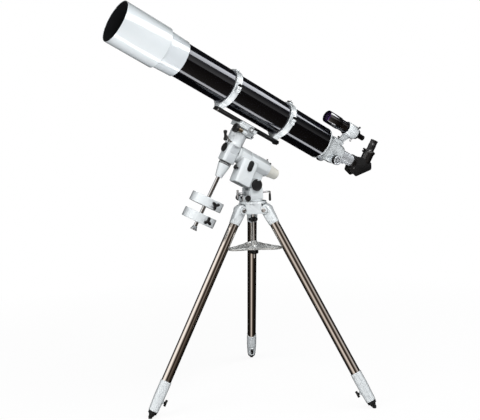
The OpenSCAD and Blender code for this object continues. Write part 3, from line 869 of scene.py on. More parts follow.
@dataclass
class Studio:
    """Pale floor, white background and soft lamps round the telescope."""

    key_up: float = 40.0
    key_up_rear: float = 100.0
    fill_down: float = 60.0
    key_radiance: float = 6.5
    fill_radiance: float = 6.0
    side_radiance: float = 1.0
    mount_radiance: float = 4.3
    back_radiance: float = 1.2

    # what gloss sees round the room, as (turn from -X, colour); dark flags between
    SKY: ClassVar[list[tuple[float, str]]] = [
        (0.0, "#FFFBF6"), (0.04, "#F7F4F0"), (0.075, "#C9C4BF"), (0.11, "#968F89"),
        (0.135, "#4A433D"), (0.15, "#241E1A"), (0.18, "#241E1A"), (0.22, "#4A4038"),
        (0.25, "#6C655E"), (0.28, "#A8A4A0"), (0.325, "#C4C2C0"), (0.36, "#858280"),
        (0.39, "#3E3B39"), (0.45, "#1F1E1D"), (0.81, "#161514"), (0.86, "#4A4846"),
        (0.90, "#B0AEAC"), (0.94, "#E8E6E4"), (0.97, "#FFFBF6"), (1.0, "#FFFBF6")]
    GROUND: ClassVar[list[tuple[float, str]]] = [
        (0.0, "#7A746E"), (0.03, "#C4BDB6"), (0.09, "#D2CBC4"), (0.14, "#B0A79F"),
        (0.19, "#8A8178"), (0.25, "#5A534C"), (0.31, "#38312A"), (0.37, "#1C1814"),
        (0.45, "#100E0C"), (0.77, "#100F0E"), (0.86, "#181614"), (0.93, "#2A2622"),
        (0.97, "#4A4540"), (1.0, "#7A746E")]
    metal_gain: float = 1.6

    def round_about(self, tree: Tree, way: Socket,
                    stops: Sequence[tuple[float, str]]) -> Socket:
        """Colour that depends on the compass direction of a ray alone.

        Args:
            tree: node tree.
            way: direction.
            stops: turn from -X, and colour as a metal shows it.
        """
        xyz = add_node(tree, "ShaderNodeSeparateXYZ", {0: way}).outputs
        round_ = reckon(tree, "ARCTAN2", xyz[1], xyz[0])
        turn = remap(tree, round_, -math.pi, math.pi, 0.0, 1.0)
        lit = [(at, tuple(self.metal_gain * c for c in linear(hue)[:3]) + (1.0,))
               for at, hue in stops]
        return ramp(tree, turn, lit)

    def world(self) -> None:
        """White world; what gloss sees holds soft boxes between dark flags."""
        world = bpy.data.worlds.new("studio")
        bpy.context.scene.world = world
        world.use_nodes = True
        tree = world.node_tree
        tree.nodes.clear()
        way = add_node(tree, "ShaderNodeTexCoord").outputs["Generated"]
        lid = self.round_about(tree, way, self.SKY)
        path = add_node(tree, "ShaderNodeLightPath").outputs
        seen = reckon(tree, "MAXIMUM", path["Is Camera Ray"], path["Is Transmission Ray"])
        soft, gloss, white = (
            add_node(tree, "ShaderNodeBackground", {0: colour, 1: strength}).outputs[0]
            for colour, strength in (((0.95, 0.97, 1.0, 1), 0.22), (lid, 1.0),
                                     ((1, 1, 1, 1), 1.0)))
        lit = either(tree, path["Is Glossy Ray"], soft, gloss)
        add_node(tree, "ShaderNodeOutputWorld", {0: either(tree, seen, lit, white)})

    def floor(self) -> None:
        """A wide pale floor that keeps the object's shadow and fades to white."""
        mat, tree = blank_material("pale_floor")
        where = add_node(tree, "ShaderNodeTexCoord").outputs["Object"]
        far = add_node(tree, "ShaderNodeVectorMath", {0: where}, operation="LENGTH")
        fade = remap(tree, far.outputs["Value"], 0.6, 3.0, 0.90, 1.0)
        matt = add_node(tree, "ShaderNodeBsdfDiffuse", {0: (0.86, 0.86, 0.86, 1)}).outputs[0]
        glow = add_node(tree, "ShaderNodeEmission", {0: (1, 1, 1, 1), 1: 1.0}).outputs[0]
        back = add_node(tree, "ShaderNodeNewGeometry").outputs["Incoming"]
        ahead = add_node(tree, "ShaderNodeVectorMath", {0: back, 1: (-1, -1, -1)},
                         operation="MULTIPLY").outputs[0]
        flag = add_node(tree, "ShaderNodeEmission", {
            0: self.round_about(tree, ahead, self.GROUND), 1: 1.0}).outputs[0]
        path = add_node(tree, "ShaderNodeLightPath").outputs
        last = either(tree, path["Is Camera Ray"],
                      either(tree, path["Is Glossy Ray"], matt, flag),
                      either(tree, fade, matt, glow))
        finished(mat, last)
        size = 40.0
        mesh = bpy.data.meshes.new("floor")
        mesh.from_pydata([(-size, -size, 0), (size, -size, 0), (size, size, 0),
                          (-size, size, 0)], [], [(0, 1, 2, 3)])
        mesh.materials.append(mat)
        placed("floor", mesh)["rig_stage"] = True

    def lamp(self, name: str, place: Array, aim: Array, along: Array, size: tuple,
             radiance: float, diffuse: float) -> None:
        """One rectangular soft box, its long side along a direction.

        Args:
            name: lamp name.
            place: centre, metres.
            aim: point that it faces, metres.
            along: direction of its long side.
            size: long and short side, metres.
            radiance: brightness of its face.
            diffuse: share that lights matt surfaces.
        """
        data = bpy.data.lights.new(name, "AREA")
        data.shape = "RECTANGLE"
        data.size, data.size_y = size
        data.energy = radiance * math.pi * size[0] * size[1]
        data.diffuse_factor = diffuse
        obj = placed(name, data)
        z = np.asarray(place, float) - np.asarray(aim, float)
        z /= np.linalg.norm(z)
        x = along - z * (along @ z)
        x /= np.linalg.norm(x)
        rot = np.stack([x, np.cross(z, x), z], 1)
        obj.matrix_world = Matrix.Translation(Vector(place)) @ Matrix(rot.tolist()).to_4x4()
        obj.visible_camera = False

    def build(self, camera: PhotoCamera) -> None:
        """Makes world, floor and lamps; the two strips lie along the tube."""
        view = bpy.context.scene.view_settings
        view.view_transform = "Standard"
        self.world()
        self.floor()
        tube = PLAN.tube()
        centre = tube.at(np.zeros(3))
        to_cam = np.asarray(camera.place) * MM - centre
        e1 = to_cam - tube.z * (to_cam @ tube.z)
        e1 /= np.linalg.norm(e1)
        e2 = np.cross(tube.z, e1)
        e2 = e2 if e2[2] > 0 else -e2
        for name, front, rear, reach, size, radiance, diffuse in (
                ("key_strip", self.key_up, self.key_up_rear, 2.8, (4.4, 1.05),
                 self.key_radiance, 0.22),
                ("fill_strip", -self.fill_down, -self.fill_down, 1.0, (3.2, 0.25),
                 self.fill_radiance, 0.10)):
            ends = []
            for deg, z in ((front, size[0] / 2), (rear, -size[0] / 2)):
                a = math.radians(deg)
                ends.append(centre + z * tube.z
                            + reach * (math.cos(a) * e1 + math.sin(a) * e2))
            place = (ends[0] + ends[1]) / 2
            self.lamp(name, place, centre, ends[0] - ends[1], size, radiance, diffuse)
        back = centre - 3.0 * e1 + np.array([0, 0, 1.6])
        self.lamp("back_strip", back, centre, tube.z, (4.0, 1.0), self.back_radiance, 0.4)
        side = 0.80 * tube.z + np.array([0.0, -0.55, 0.22])
        left = np.array([-0.97, 0.0, 0.55])
        for name, way, reach, size, radiance in (
                ("side_soft", side, 3.4, 3.0, self.side_radiance),
                ("mount_soft", left, 3.0, 2.0, self.mount_radiance)):
            self.lamp(name, centre + reach * way / np.linalg.norm(way), centre,
                      np.array([0, 0, 1.0]), (size, size), radiance, 1.0)
            bpy.data.objects[name].visible_glossy = False


# ---------------------------------------------------------------- special materials
@dataclass(frozen=True)
class CoatedGlass:
    """Lens glass with a coloured anti-reflection coating, whose coloured reflection is painted into
    the glass's colour.
    """

    name: str
    # depth is the colour face-on; sheen is the painted reflection colour of the coating at glancing
    # angles
    depth: str
    sheen: str

    def build(self) -> Material:
        """Glass coloured from depth face-on to sheen at glancing angles, a painted reflection of
        the coating; the coat is tinted the sheen too.
        """
        mat, tree = blank_material(self.name)
        facing = add_node(tree, "ShaderNodeLayerWeight", {"Blend": 0.35}).outputs["Facing"]
        obj = add_node(tree, "ShaderNodeTexCoord").outputs["Object"]
        rough = remap(tree, noise(tree, obj, 60.0, 3.0), 0.3, 0.8, 0.02, 0.09)
        tint = ramp(tree, facing, [(0.0, linear(self.depth)), (1.0, linear(self.sheen))])
        shader = add_node(tree, "ShaderNodeBsdfPrincipled", {
            "Base Color": tint, "Roughness": rough, "IOR": 1.6,
            "Coat Weight": 1.0, "Coat Roughness": 0.02, "Coat Tint": linear(self.sheen)})
        return finished(mat, shader.outputs[0])


@dataclass(frozen=True)
class CircleMarks:
    """Black setting-circle band with white graduations on its own chart."""

    name: str = "setting_circle_marks"
    around_mm: float = 2 * math.pi * 29.5
    count: int = 72

    def build(self) -> Material:
        """White bars, every third one long, on matt black."""
        mat, tree = blank_material(self.name)
        uv = add_node(tree, "ShaderNodeUVMap", uv_map="skin").outputs[0]
        xy = add_node(tree, "ShaderNodeSeparateXYZ", {0: uv}).outputs
        pitch = self.around_mm * MM / self.count
        turns = reckon(tree, "DIVIDE", xy[0], pitch)
        bar = reckon(tree, "LESS_THAN", reckon(tree, "FRACT", turns), 0.38)
        long_one = reckon(tree, "LESS_THAN", reckon(tree, "MODULO", turns, 3.0), 1.0)
        reach = remap(tree, long_one, 0.0, 1.0, 0.0205, 0.0245)
        inside = reckon(tree, "LESS_THAN", xy[1], reach)
        above = reckon(tree, "GREATER_THAN", xy[1], 0.0165)
        mark = reckon(tree, "MULTIPLY", bar, reckon(tree, "MULTIPLY", inside, above))
        paint = ramp(tree, mark, [(0.0, linear("#1B1D1E")), (1.0, linear("#D8DCDD"))])
        obj = add_node(tree, "ShaderNodeTexCoord").outputs["Object"]
        relief = add_node(tree, "ShaderNodeBump", {
            "Strength": 0.1, "Distance": 0.0003,
            "Height": noise(tree, obj, 1500.0)}).outputs[0]
        shader = add_node(tree, "ShaderNodeBsdfPrincipled", {
            "Base Color": paint, "Roughness": 0.45, "Normal": relief})
        return finished(mat, shader.outputs[0])


# ---------------------------------------------------------------- optical tube
@dataclass
class OpticalTube:
    """Tube, lens cell, dew shield, lens, tube rings and dovetail bar."""

    axes: Axes = field(default_factory=PLAN.tube)
    wall: float = 2.0
    ring_in: float = 80.25
    ring_out: float = 88.4
    ring_half: float = 16.0
    body: str = "dec_head"

    def shield(self) -> None:
        """Dew shield with a rolled front rim and its flat black lining."""
        r, s0, s1 = PLAN.shield_r, PLAN.shield_s, PLAN.front_s
        loop = [(79, s0), (r - 1.2, s0), (r, s0 + 1.2), (r, s1 - 1.2), (r - 0.8, s1),
                (r - 1.6, s1), (r - 2.2, s1 - 1.2), (r - 2.2, s0 + 4.5), (79, s0 + 4.5)]
        Piece("dew_shield_shell", "enamel_sheet", self.body, ["dew_shield"]).lathe(
            self.axes, loop, 128, ring=True).make()
        lining = [(78, s0 + 5.0), (r - 2.4, s0 + 5.0), (r - 2.4, s1 - 1.0),
                  (r - 3.0, s1 - 1.0), (r - 3.0, s0 + 6.5), (78, s0 + 6.5)]
        Piece("dew_shield_lining", "flock", self.body).lathe(
            self.axes, lining, 96, ring=True).make()

    def cell(self) -> None:
        """Lens cell sleeve with a turned rear lip, its retaining ring and the lens."""
        s0, s1, t = PLAN.cell_s, PLAN.shield_s, PLAN.tube_r
        loop = [(t + 0.15, s0), (t + 3.2, s0), (t + 4.4, s0 + 1.2), (t + 4.5, s0 + 6),
                (t + 7.4, s1 - 9), (t + 6.6, s1 - 7.5), (t + 6.6, s1 - 4),
                (t + 7.6, s1 - 2.5), (t + 7.6, s1 - 0.3), (76.4, s1 - 0.3),
                (76.4, s0 + 60), (73.8, s0 + 58), (73.8, s0 + 29), (t + 0.15, s0 + 29)]
        # the sleeve's greyer colour is painted shade from the dew shield's step
        Piece("lens_cell_sleeve", "enamel_sleeve_shade", self.body, ["lens_cell"]).lathe(
            self.axes, loop, 128, ring=True).make()
        keeper = [(72, s0 + 94.4), (76, s0 + 94.4), (76, s0 + 99.4), (73.5, s0 + 99.4),
                  (72, s0 + 96)]
        Piece("lens_keeper", "anodised", self.body).lathe(self.axes, keeper, 96, ring=True).make()
        bulge = [(75.9 * math.sin(a), s0 + 92.6 + 5.3 * (math.cos(a) ** 2))
                 for a in np.linspace(math.pi / 2, 0.0, 14)]
        glass = CoatedGlass("objective_coating", "#0B1013", "#4E6B60").build()
        Piece("objective_glass", glass, self.body, ["objective_lens"], slot="lens_glass").lathe(
            self.axes, [(AXIS_R, s0 + 61), (75.5, s0 + 61)] + bulge[:-1] + [(AXIS_R, s0 + 97.9)],
            96).make()

    def tube(self) -> None:
        """Gloss black rolled tube with three light baffles inside."""
        t, w = PLAN.tube_r, self.wall
        loop = oblong(t - w, t, PLAN.rear_s, PLAN.cell_s + 28)
        piece = Piece("main_tube_shell", "black_gloss", self.body, ["main_tube"]).lathe(
            self.axes, loop, 160, ring=True)
        baffles = Piece("tube_baffles", "flock", self.body, slot="black_anodised")
        for z in (300, 560, 780):
            s = PLAN.rear_s + z
            baffles.lathe(self.axes, oblong(54, t - w - 0.2, s, s + 3), 64, ring=True)
        baffles.make()
        piece.make()

    def ring_section(self) -> Array:
        """Channel section of a ring (radius, height): two rims and a shallow web."""
        i, o, h = self.ring_in, self.ring_out, self.ring_half
        pts = [(i, -h), (o, -h), (o, -h + 4.5), (o - 1.6, -h + 6), (o - 1.6, h - 6),
               (o, h - 4.5), (o, h), (i, h)]
        return rounded(pts, 1.1, 2)

    def half_ring(self, piece: Piece, axes: Axes, a0: float, a1: float) -> None:
        """Carries the ring's section round the tube from a0 to a1 degrees.

        P(a, k) = (r_k cos a, r_k sin a, h_k).
        """
        sec = self.ring_section()
        a = np.radians(np.linspace(a0, a1, 49))[:, None]
        pts = np.stack([sec[:, 0] * np.cos(a), sec[:, 0] * np.sin(a),
                        np.broadcast_to(sec[:, 1], (len(a), len(sec)))], 2)
        piece.grid(axes.at(pts))

    def clasp(self, name: str, axes: Axes, body: str) -> None:
        """Swing bolt and thumb nut that close a ring on its near side."""
        bolt = axes.moved(y=-97).along_x()
        Piece(name + "_bolt", "bright_steel", body).lathe(
            bolt, solid((3.2, -13), (3.2, 27), (2.6, 29)), 24).make()
        Piece(name + "_nut", "screw", body).lathe(
            bolt, [(3.4, 15), (7.5, 15), (8.2, 16), (8.2, 22.5), (7.5, 23.5), (3.4, 23.5)], 36,
            ring=True, swell=fluted(0.05, 7.8, 18)).make()

    def rings(self) -> None:
        """Both tube rings: bases on the bar, hinged tops, clasps and the stud."""
        bases = Piece("tube_ring_bases", "enamel", self.body, ["ring_bases"], sharp=38)
        for s in (PLAN.ring_a, PLAN.ring_b):
            axes = self.axes.moved(z=s)
            self.half_ring(bases, axes, 90.2, 269.8)
            foot = rounded([(-98, -23), (-98, 23), (-90, 25), (-82, 40), (-74, 44),
                            (-74, -44), (-82, -40), (-90, -25)][::-1], 3, 3)
            bases.prism(axes, self.clear_of_tube(foot), -14.5, 14.5, 1.5)
            bases.box(axes, (-14, -0.3), (-105, -86.5), (-10, 10), 5, 1.2)
            for z0, z1 in ((5.4, 15), (-15, -5.4)):
                bases.lathe(axes.moved(y=92), solid((6, z0), (6, z1)), 28, soft=0.8)
        bases.make()
        for name, body, s in (("ring_top_front", "ring_front", PLAN.ring_a),
                              ("ring_top_rear", "ring_rear", PLAN.ring_b)):
            axes = self.axes.moved(z=s)
            top = Piece(name + "_band", "enamel", body, [name], sharp=38)
            self.half_ring(top, axes, -89.8, 89.8)
            top.box(axes, (0.3, 14), (-105, -86.5), (-10, 10), 5, 1.2)
            top.box(axes.along_x(), (-10, 10), (-18, 18), (86.0, 91.5), 4, 1.5)
            top.lathe(axes.moved(y=92), solid((6, -5), (6, 5)), 28, soft=0.8)
            top.make()
            self.clasp(name, axes, body)
        stud = self.axes.moved(z=PLAN.ring_b).along_x()
        Piece("piggyback_wheel", "plastic", "ring_rear").lathe(
            stud, solid((13.2, 91.6), (14, 92.4), (14, 95.6), (13.2, 96.4)), 72,
            swell=fluted(0.03, 13.5, 36)).make()
        Piece("piggyback_stud", "bright_steel", "ring_rear").lathe(
            stud, solid((3.1, 96), (3.1, 104), (2.4, 105)), 24).make()

    def clear_of_tube(self, outline: Array) -> Array:
        """Pushes outline points that fall inside the ring's inner radius out to it."""
        r = np.hypot(outline[:, 0], outline[:, 1])
        k = np.where(r < self.ring_in + 0.3, (self.ring_in + 0.3) / r, 1.0)
        return outline * k[:, None]

    def bar(self) -> None:
        """Dovetail bar with a stop at its rear end."""
        head = PLAN.head()
        piece = Piece("dovetail_rail", "anodised", self.body, ["dovetail_bar"])
        piece.prism(head, rounded([(131, 22), (131, -22), (135, -22), (147, -17), (147, 17),
                                   (135, 22)][::-1], 0.8, 2), -208, 166, 0.8)
        piece.box(head, (125.5, 132), (-15, 15), (-207, -194), 2, 1)
        piece.make()

    def build(self) -> None:
        """Builds every piece of the tube."""
        self.shield()
        self.cell()
        self.tube()
        self.rings()
        self.bar()


# ---------------------------------------------------------------- focuser and finder
@dataclass
class Focuser:
    """Focuser body, knobs, drawtube, star diagonal and eyepiece."""

    axes: Axes = field(default_factory=PLAN.tube)
    bore: float = 29.0

    def body(self) -> None:
        """White casting: flange, concave cone and nose, pinion box and finder shoe."""
        s = PLAN.rear_s
        t = np.linspace(0, 1, 12)[:, None]
        a, b, c = np.array([73.5, s - 11.0]), np.array([54.0, s - 30.0]), np.array([49.5, s - 66.0])
        flare = (1 - t) ** 2 * a + 2 * t * (1 - t) * b + t ** 2 * c
        profile = [(self.bore + 0.4, s - 2), (76, s - 2), (78.6, s + 0.4), (80.6, s - 0.6),
                   (80.6, s - 7), (79.4, s - 8.4), (75, s - 9)]
        profile += [tuple(p) for p in flare]
        profile += [(47.5, s - 70), (46, s - 100), (41.5, s - 134), (39.5, s - 139),
                    (37.5, s - 140), (self.bore + 0.4, s - 140)]
        piece = Piece("focuser_casting", "enamel", "dec_head", ["focuser_body"], sharp=42)
        piece.lathe(self.axes, profile, 96, ring=True)
        pinion_box = rounded([(-62, s - 118), (-30, s - 118), (-30, s - 60), (-62, s - 66)], 5, 4)
        piece.prism(self.axes.along_minus_y(), pinion_box, -24, 24, 3)
        lean = PLAN.finder()
        dove = rounded([(40, -19), (60, -19), (60, -12.5), (51, -10.5), (51, 10.5),
                        (60, 12.5), (60, 19), (40, 19)], 1.0, 2)
        piece.prism(lean, dove, s - 114, s - 56, 1.0)
        piece.make()

    def knobs(self) -> None:
        """Two focus knobs on their pinion shaft: black fluted rims, satin faces."""
        shaft = self.axes.moved(x=-self.bore - 17, z=PLAN.rear_s - 90).along_y()
        core = Piece("focus_knob_faces", "satin_clear", "pinion", ["focus_pinion"])
        rim = Piece("focus_knob_rims", "anodised", "pinion")
        core.lathe(shaft, solid((5, -60), (5, 60)), 24)
        for ax in shaft.both_ways():
            core.lathe(ax, solid((10.5, 30), (12, 31.5), (12, 57)), 40)
            core.lathe(ax, solid((21, 60), (21, 79.0), (20, 80), (17, 80), (16, 79.2)), 56)
            rim.lathe(ax, [(21.2, 58), (22, 58), (23, 59.2), (23, 77.5), (22.4, 78.6),
                           (21.2, 78.6)], 120, ring=True, swell=fluted(0.012, 22.5, 40))
        core.make()
        rim.make()
        # dark discs on the knob faces: painted shade where the faces' dimples are
        dimple_shade = Piece("focus_knob_dimples", "screw", "pinion")
        for ax in shaft.both_ways():
            for k in range(6):
                q = math.radians(60 * k + 20)
                dimple_shade.lathe(ax.moved(x=10.5 * math.cos(q), y=10.5 * math.sin(q)),
                             solid((2.8, 78.6), (2.8, 79.4), (2.2, 79.6)), 20)
        dimple_shade.make()

    def draw(self) -> None:
        """Satin drawtube with its rack below."""
        s = PLAN.rear_s
        piece = Piece("drawtube_barrel", "satin_clear", "drawtube", ["drawtube"])
        piece.lathe(self.axes, [(25.6, PLAN.draw_s), (28.2, PLAN.draw_s), (29, PLAN.draw_s + 0.8),
                                (29, s - 30), (25.6, s - 30)], 96, ring=True)
        teeth = np.arange(PLAN.draw_s + 34, s - 34, 3.0)
        rack = [(-27.5, PLAN.draw_s + 30)]
        for z in teeth:
            rack += [(-34.6, z), (-36.0, z + 0.7), (-36.0, z + 1.4), (-34.6, z + 2.1)]
        rack += [(-34.6, s - 32), (-27.5, s - 32)]
        piece.prism(self.axes.along_minus_y(), np.array(rack)[::-1], -5, 5, 0.3, 1)
        piece.make()

    def diagonal(self) -> None:
        """Black mirror diagonal: adapter, five-sided body, holder, collar and screws."""
        d, ds = PLAN.diag_s, PLAN.draw_s
        body = Piece("diagonal_body", "black_coat", "diagonal", ["diagonal"], sharp=38)
        body.lathe(self.axes, oblong(22.2, 25.4, ds - 5, ds + 28), 64, ring=True)
        body.lathe(self.axes, [(20, ds - 26), (31, ds - 26), (31, ds - 15), (34, ds - 14),
                               (34, ds - 1.2), (33.2, ds - 0.4), (22.5, ds - 0.4)], 96, ring=True,
                   swell=fluted(0.008, 33.5, 48))
        plan = rounded([(34, 43), (34, -20), (12, -34), (-54, 33), (-45, 74), (-24, 77),
                        (24, 77)], 4, 4)
        side = Axes(self.axes.moved(z=d).origin, self.axes.x, self.axes.z, -self.axes.y)
        body.prism(side, plan, -24, 24, 3.0)
        hold = self.axes.moved(z=d).along_x()
        body.lathe(hold, solid((28, 30), (28, 80), (28.6, 83), (31, 85.5), (31, 92.5), (30, 94),
                               (17, 94), (16.2, 93), (16.2, 60)), 80)
        body.make()
        plates = Piece("diagonal_side_plates", "plastic", "diagonal")
        plates.prism(side, inset(plan, 7.0), 23.6, 25.0, 0.6)
        plates.prism(side, inset(plan, 7.0), -25.0, -23.6, 0.6)
        plates.make()
        screws = Piece("holder_thumbscrews", "screw", "diagonal")
        for x in (76.0, 88.5):
            ax = self.axes.moved(x=x, z=d)
            screws.lathe(ax, solid((2, 27), (2, 34), (4.2, 34.5), (4.6, 35.5), (4.6, 42),
                                   (4, 43)), 30, swell=fluted(0.06, 4.3, 10))
        screws.make()

    def eyepiece(self) -> None:
        """Eyepiece: black body with a ribbed grip, and its eye lens."""
        ax = self.axes.moved(z=PLAN.diag_s).along_x()

        def ribs(r: Array, h: Array, a: Array) -> Array:
            """Thirty shallow ribs round the grip's band."""
            return r * (1 + 0.012 * ((r > 19.1) & (h > 102) & (h < 123)) * np.cos(30 * a))

        Piece("eyepiece_body", "anodised", "eyepiece", ["eyepiece"]).lathe(
            ax, [(14.2, 62), (15.8, 62), (15.8, 94.4), (19, 94.6), (20, 95.6), (20, 101),
                 (19.2, 102), (19.2, 122), (20, 123), (20, 128), (18.8, 130), (18.8, 149),
                 (20, 151), (19.4, 153), (17, 153), (11, 147), (11, 143), (14.2, 140)], 72,
            ring=True, swell=ribs).make()
        glass = CoatedGlass("eye_lens_coating", "#0A0D10", "#3F5A54").build()
        Piece("eye_lens", glass, "eyepiece", slot="lens_glass").lathe(
            ax, [(AXIS_R, 141), (11, 141), (11, 143.5), (7, 145.2), (AXIS_R, 146)], 40).make()

    def build(self) -> None:
        """Builds every piece of the focuser."""
        self.body()
        self.knobs()
        self.draw()
        self.diagonal()
        self.eyepiece()


@dataclass
class Finder:
    """Finder telescope in its ring bracket."""

    hood_r: float = 31.0

    def build(self) -> None:
        """Builds scope, lens, bracket and screws."""
        s = PLAN.rear_s
        base = PLAN.finder()
        ax = base.moved(x=PLAN.finder_h)
        h = self.hood_r
        Piece("finder_tube", "finder_gloss", "finder", ["finder_scope"], sharp=30).lathe(
            ax, [(7, s - 208), (12, s - 208), (13, s - 206.5), (13, s - 176), (14.5, s - 168),
                 (25.2, s - 162), (26, s - 160), (26, s - 158), (22, s - 157), (22, s - 97),
                 (31.0, s - 96), (31.0, s - 90), (24, s - 88), (24, s - 77), (h - 3.2, s - 74),
                 (h - 3, s - 36), (h - 0.4, s - 33.5), (h, s - 32), (h, s + 46.5),
                 (h - 0.8, s + 48), (h - 2.2, s + 48), (h - 3, s + 46), (h - 3, s + 13),
                 (7, s + 13)], 96, ring=True).make()
        # the lens's lilac depth and sheen colours are a painted purple reflection of its coating,
        # face-on as well
        glass = CoatedGlass("finder_coating_painted_reflection", "#B892D2", "#C8A8E0").build()
        Piece("finder_glass", glass, "finder", slot="lens_glass").lathe(
            ax, [(AXIS_R, s + 13.2), (27, s + 13.2), (27, s + 20), (18, s + 24.5), (9, s + 27),
                 (AXIS_R, s + 27.6)], 64).make()
        bracket = Piece("finder_bracket_casting", "enamel", "finder", ["finder_bracket"],
                        sharp=38)
        bracket.lathe(ax, [(31.4, s - 146), (33, s - 146), (34, s - 144.5), (34, s - 84),
                           (33, s - 82), (31.4, s - 82)], 96, ring=True)
        stem = rounded([(61, s - 116), (61, s - 84), (98, s - 92), (98, s - 136),
                        (80, s - 126)], 4, 4)
        bracket.prism(Axes(base.origin, base.x, base.z, -base.y), stem, -7, 7, 3)
        bracket.prism(base, rounded([(51.6, -10), (62, -11.6), (62, 11.6), (51.6, 10)], 1, 2),
                      s - 114, s - 60, 1.0)
        bracket.make()
        pins = Piece("finder_bracket_screws", "screw", "finder")
        for a in (85, 325):
            sc = ax.moved(z=s - 136).spun(a).along_x()
            pins.lathe(sc, solid((2.4, 22.2), (2.4, 42), (4.2, 42.4), (4.6, 43.4), (4.6, 48.2),
                                 (4, 49)), 28, swell=fluted(0.06, 4.4, 10))
        pins.make()
        spring = ax.moved(z=s - 136).spun(205).along_x()
        Piece("finder_spring_pin", "bright_steel", "finder").lathe(
            spring, solid((2.4, 22.2), (2.4, 36), (5, 36.6), (5, 42), (3.4, 42.6), (3.4, 46),
                          (4.6, 46.5), (4.6, 49)), 32).make()
        thumb = base.moved(x=62, y=-9, z=s - 72).along_x()
        Piece("finder_thumbscrew", "plastic", "finder_screw", ["finder_screw"]).lathe(
            thumb, [(AXIS_R, 0.5), (2, 0.5), (2, 6), (4, 6.4), (5, 8), (5, 11.5), (4, 13.6),
                    (AXIS_R, 14)], 30, swell=fluted(0.06, 4.6, 10)).make()


# ---------------------------------------------------------------- mount
@dataclass
class MountHead:
    """What turns on the RA axis and the dec axis, short of the tube."""

    axes: Axes = field(default_factory=PLAN.head)
    shaft_r: float = 9.0
    weight_r: float = 79.0
    weight_t: float = 44.0
    weight_at: tuple[float, float] = (264.0, 344.0)

    def housing(self) -> None:
        """Dec housing: an eight-sided body with raised facets, its neck and collar."""
        piece = Piece("dec_housing_casting", "enamel", "ra_head", ["dec_housing"], sharp=38)
        w, c = 32.0, 9.0
        octagon = np.array([[w - c, w], [w, w - c], [w, c - w], [w - c, -w], [c - w, -w],
                            [-w, c - w], [-w, w - c], [c - w, w]])
        out = self.axes.along_x()
        piece.prism(out, rounded(octagon, 3, 3), -58, 28, 3.0)
        piece.lathe(out, [(14.3, 24), (39.6, 24), (41, 26), (41, 32), (40.2, 33.4), (40.2, 79),
                          (41, 80.4), (41, 86.6), (40, 87.6), (14.3, 87.6)], 112, ring=True)
        piece.lathe(self.axes, [(18.2, -41.4), (40.6, -41.4), (41, -40.6), (41, -31), (38, -28),
                                (18.2, -28)], 96, ring=True)
        piece.lathe(self.axes, [(18.2, 26), (24, 26), (24, 35.2), (23.2, 36), (18.2, 36)], 72,
                    ring=True)
        piece.lathe(self.axes, oblong(18.2, 24, -190, -36), 48, ring=True)
        # greyer panels: painted shade between the white ribs of the same enamel
        panels = Piece("dec_housing_panels", "enamel_panel_shade", "ra_head")
        for x0, x1 in ((-54, -17), (-11, 24)):
            for face in (0, 45, 90, 270, 315):
                reach, half = (32.0, 19.5) if face % 90 == 0 else (38.9, 3.5)
                side = self.axes.along_x().spun(face)
                panels.prism(Axes(side.origin, self.axes.x, np.cross(side.x, self.axes.x), side.x),
                             rounded(oblong(x0, x1, -half, half), 2.5, 4), reach - 1.0,
                             reach + 0.8, 0.7)
        panels.make()
        piece.make()

    def small_parts(self) -> None:
        """Bore plug, dec lock lever and setting circle."""
        Piece("polar_bore_plug", "plastic", "bore_plug", ["bore_plug"]).lathe(
            self.axes, solid((17.5, 23), (17.5, 36.4), (21.2, 36.4), (22, 37.4), (22, 40.4),
                             (21, 41.8), (14, 42), (12.5, 40.8)), 72).make()
        lever = Piece("dec_lock_lever", "plastic", "dec_lever", ["dec_lever"])
        root = self.axes.moved(x=34, y=-24)
        grip = self.axes.moved(x=47, y=-24, z=73).tilted(61.5)
        z = np.linspace(-24, 24, 33)
        lever.grip(grip, z, 6.0 + 3.0 * np.exp(-((np.abs(z) - 17) / 7.5) ** 2))
        lever.make()
        arm = Piece("dec_lever_arm", "bright_steel", "dec_lever")
        arm.lathe(root, solid((3.9, 27), (3.9, 39.4), (6.6, 39.6), (7, 40.2), (7, 44),
                              (6.2, 45)), 30)
        arm.sweep(root.moved(z=42).tilted(32), [(0, 0, -1), (0, 0, 16), (0, 0, 32)],
                  [3.4, 2.9, 3.3], 18)
        arm.make()
        Piece("dec_setting_circle", CircleMarks().build(), "dec_circle", ["dec_circle"],
              slot="circle_black").lathe(
            self.axes.along_x(), [(14.3, -71.4), (28.8, -71.4), (29.4, -70.8), (29.4, -60.0),
                                  (28.8, -59.4), (14.3, -59.4)], 144, ring=True).make()

    def saddle(self) -> None:
        """Saddle casting, jaw, clamp knob with its brass barrel and lock screws."""
        softened("saddle", "dec_head", 1.4)
        softened("saddle_jaw", "saddle_jaw", 1.4)
        knob = self.axes.moved(x=98, y=-42)
        Piece("saddle_clamp_knob", "plastic", "saddle_knob", ["saddle_knob"]).lathe(
            knob, solid((19.4, 41.5), (21, 43), (21, 55.5), (19, 58), (9, 58), (8, 57)), 96,
            swell=fluted(0.035, 19, 12)).make()
        Piece("saddle_clamp_barrel", "brass", "saddle_knob").lathe(
            knob, solid((5.9, -5), (5.9, 12.6), (8.2, 12.6), (9, 13.6), (9, 24), (8.2, 25),
                        (8.2, 27), (9, 28), (9, 41.7)), 48).make()
        lock = self.axes.moved(x=122.5, z=-22).along_minus_y()
        Piece("saddle_lock_knob", "satin", "dec_head").lathe(
            lock, [(4.0, 42), (5.2, 42), (5.2, 46.8), (11.6, 46.9), (12.3, 47.8), (12.3, 57.2),
                   (11.4, 58.3), (7, 58.3), (6, 57.2), (4.0, 57.2)], 96, ring=True,
            swell=fluted(0.025, 12, 28)).make()
        low = self.axes.moved(x=97, z=-54).along_minus_y()
        Piece("saddle_set_screw", "plastic", "dec_head").lathe(
            low, solid((4.6, 31.5), (4.9, 32.4), (4.9, 38.6), (4.2, 39.4), (2.4, 39.4),
                       (2.2, 38.4)), 30).make()

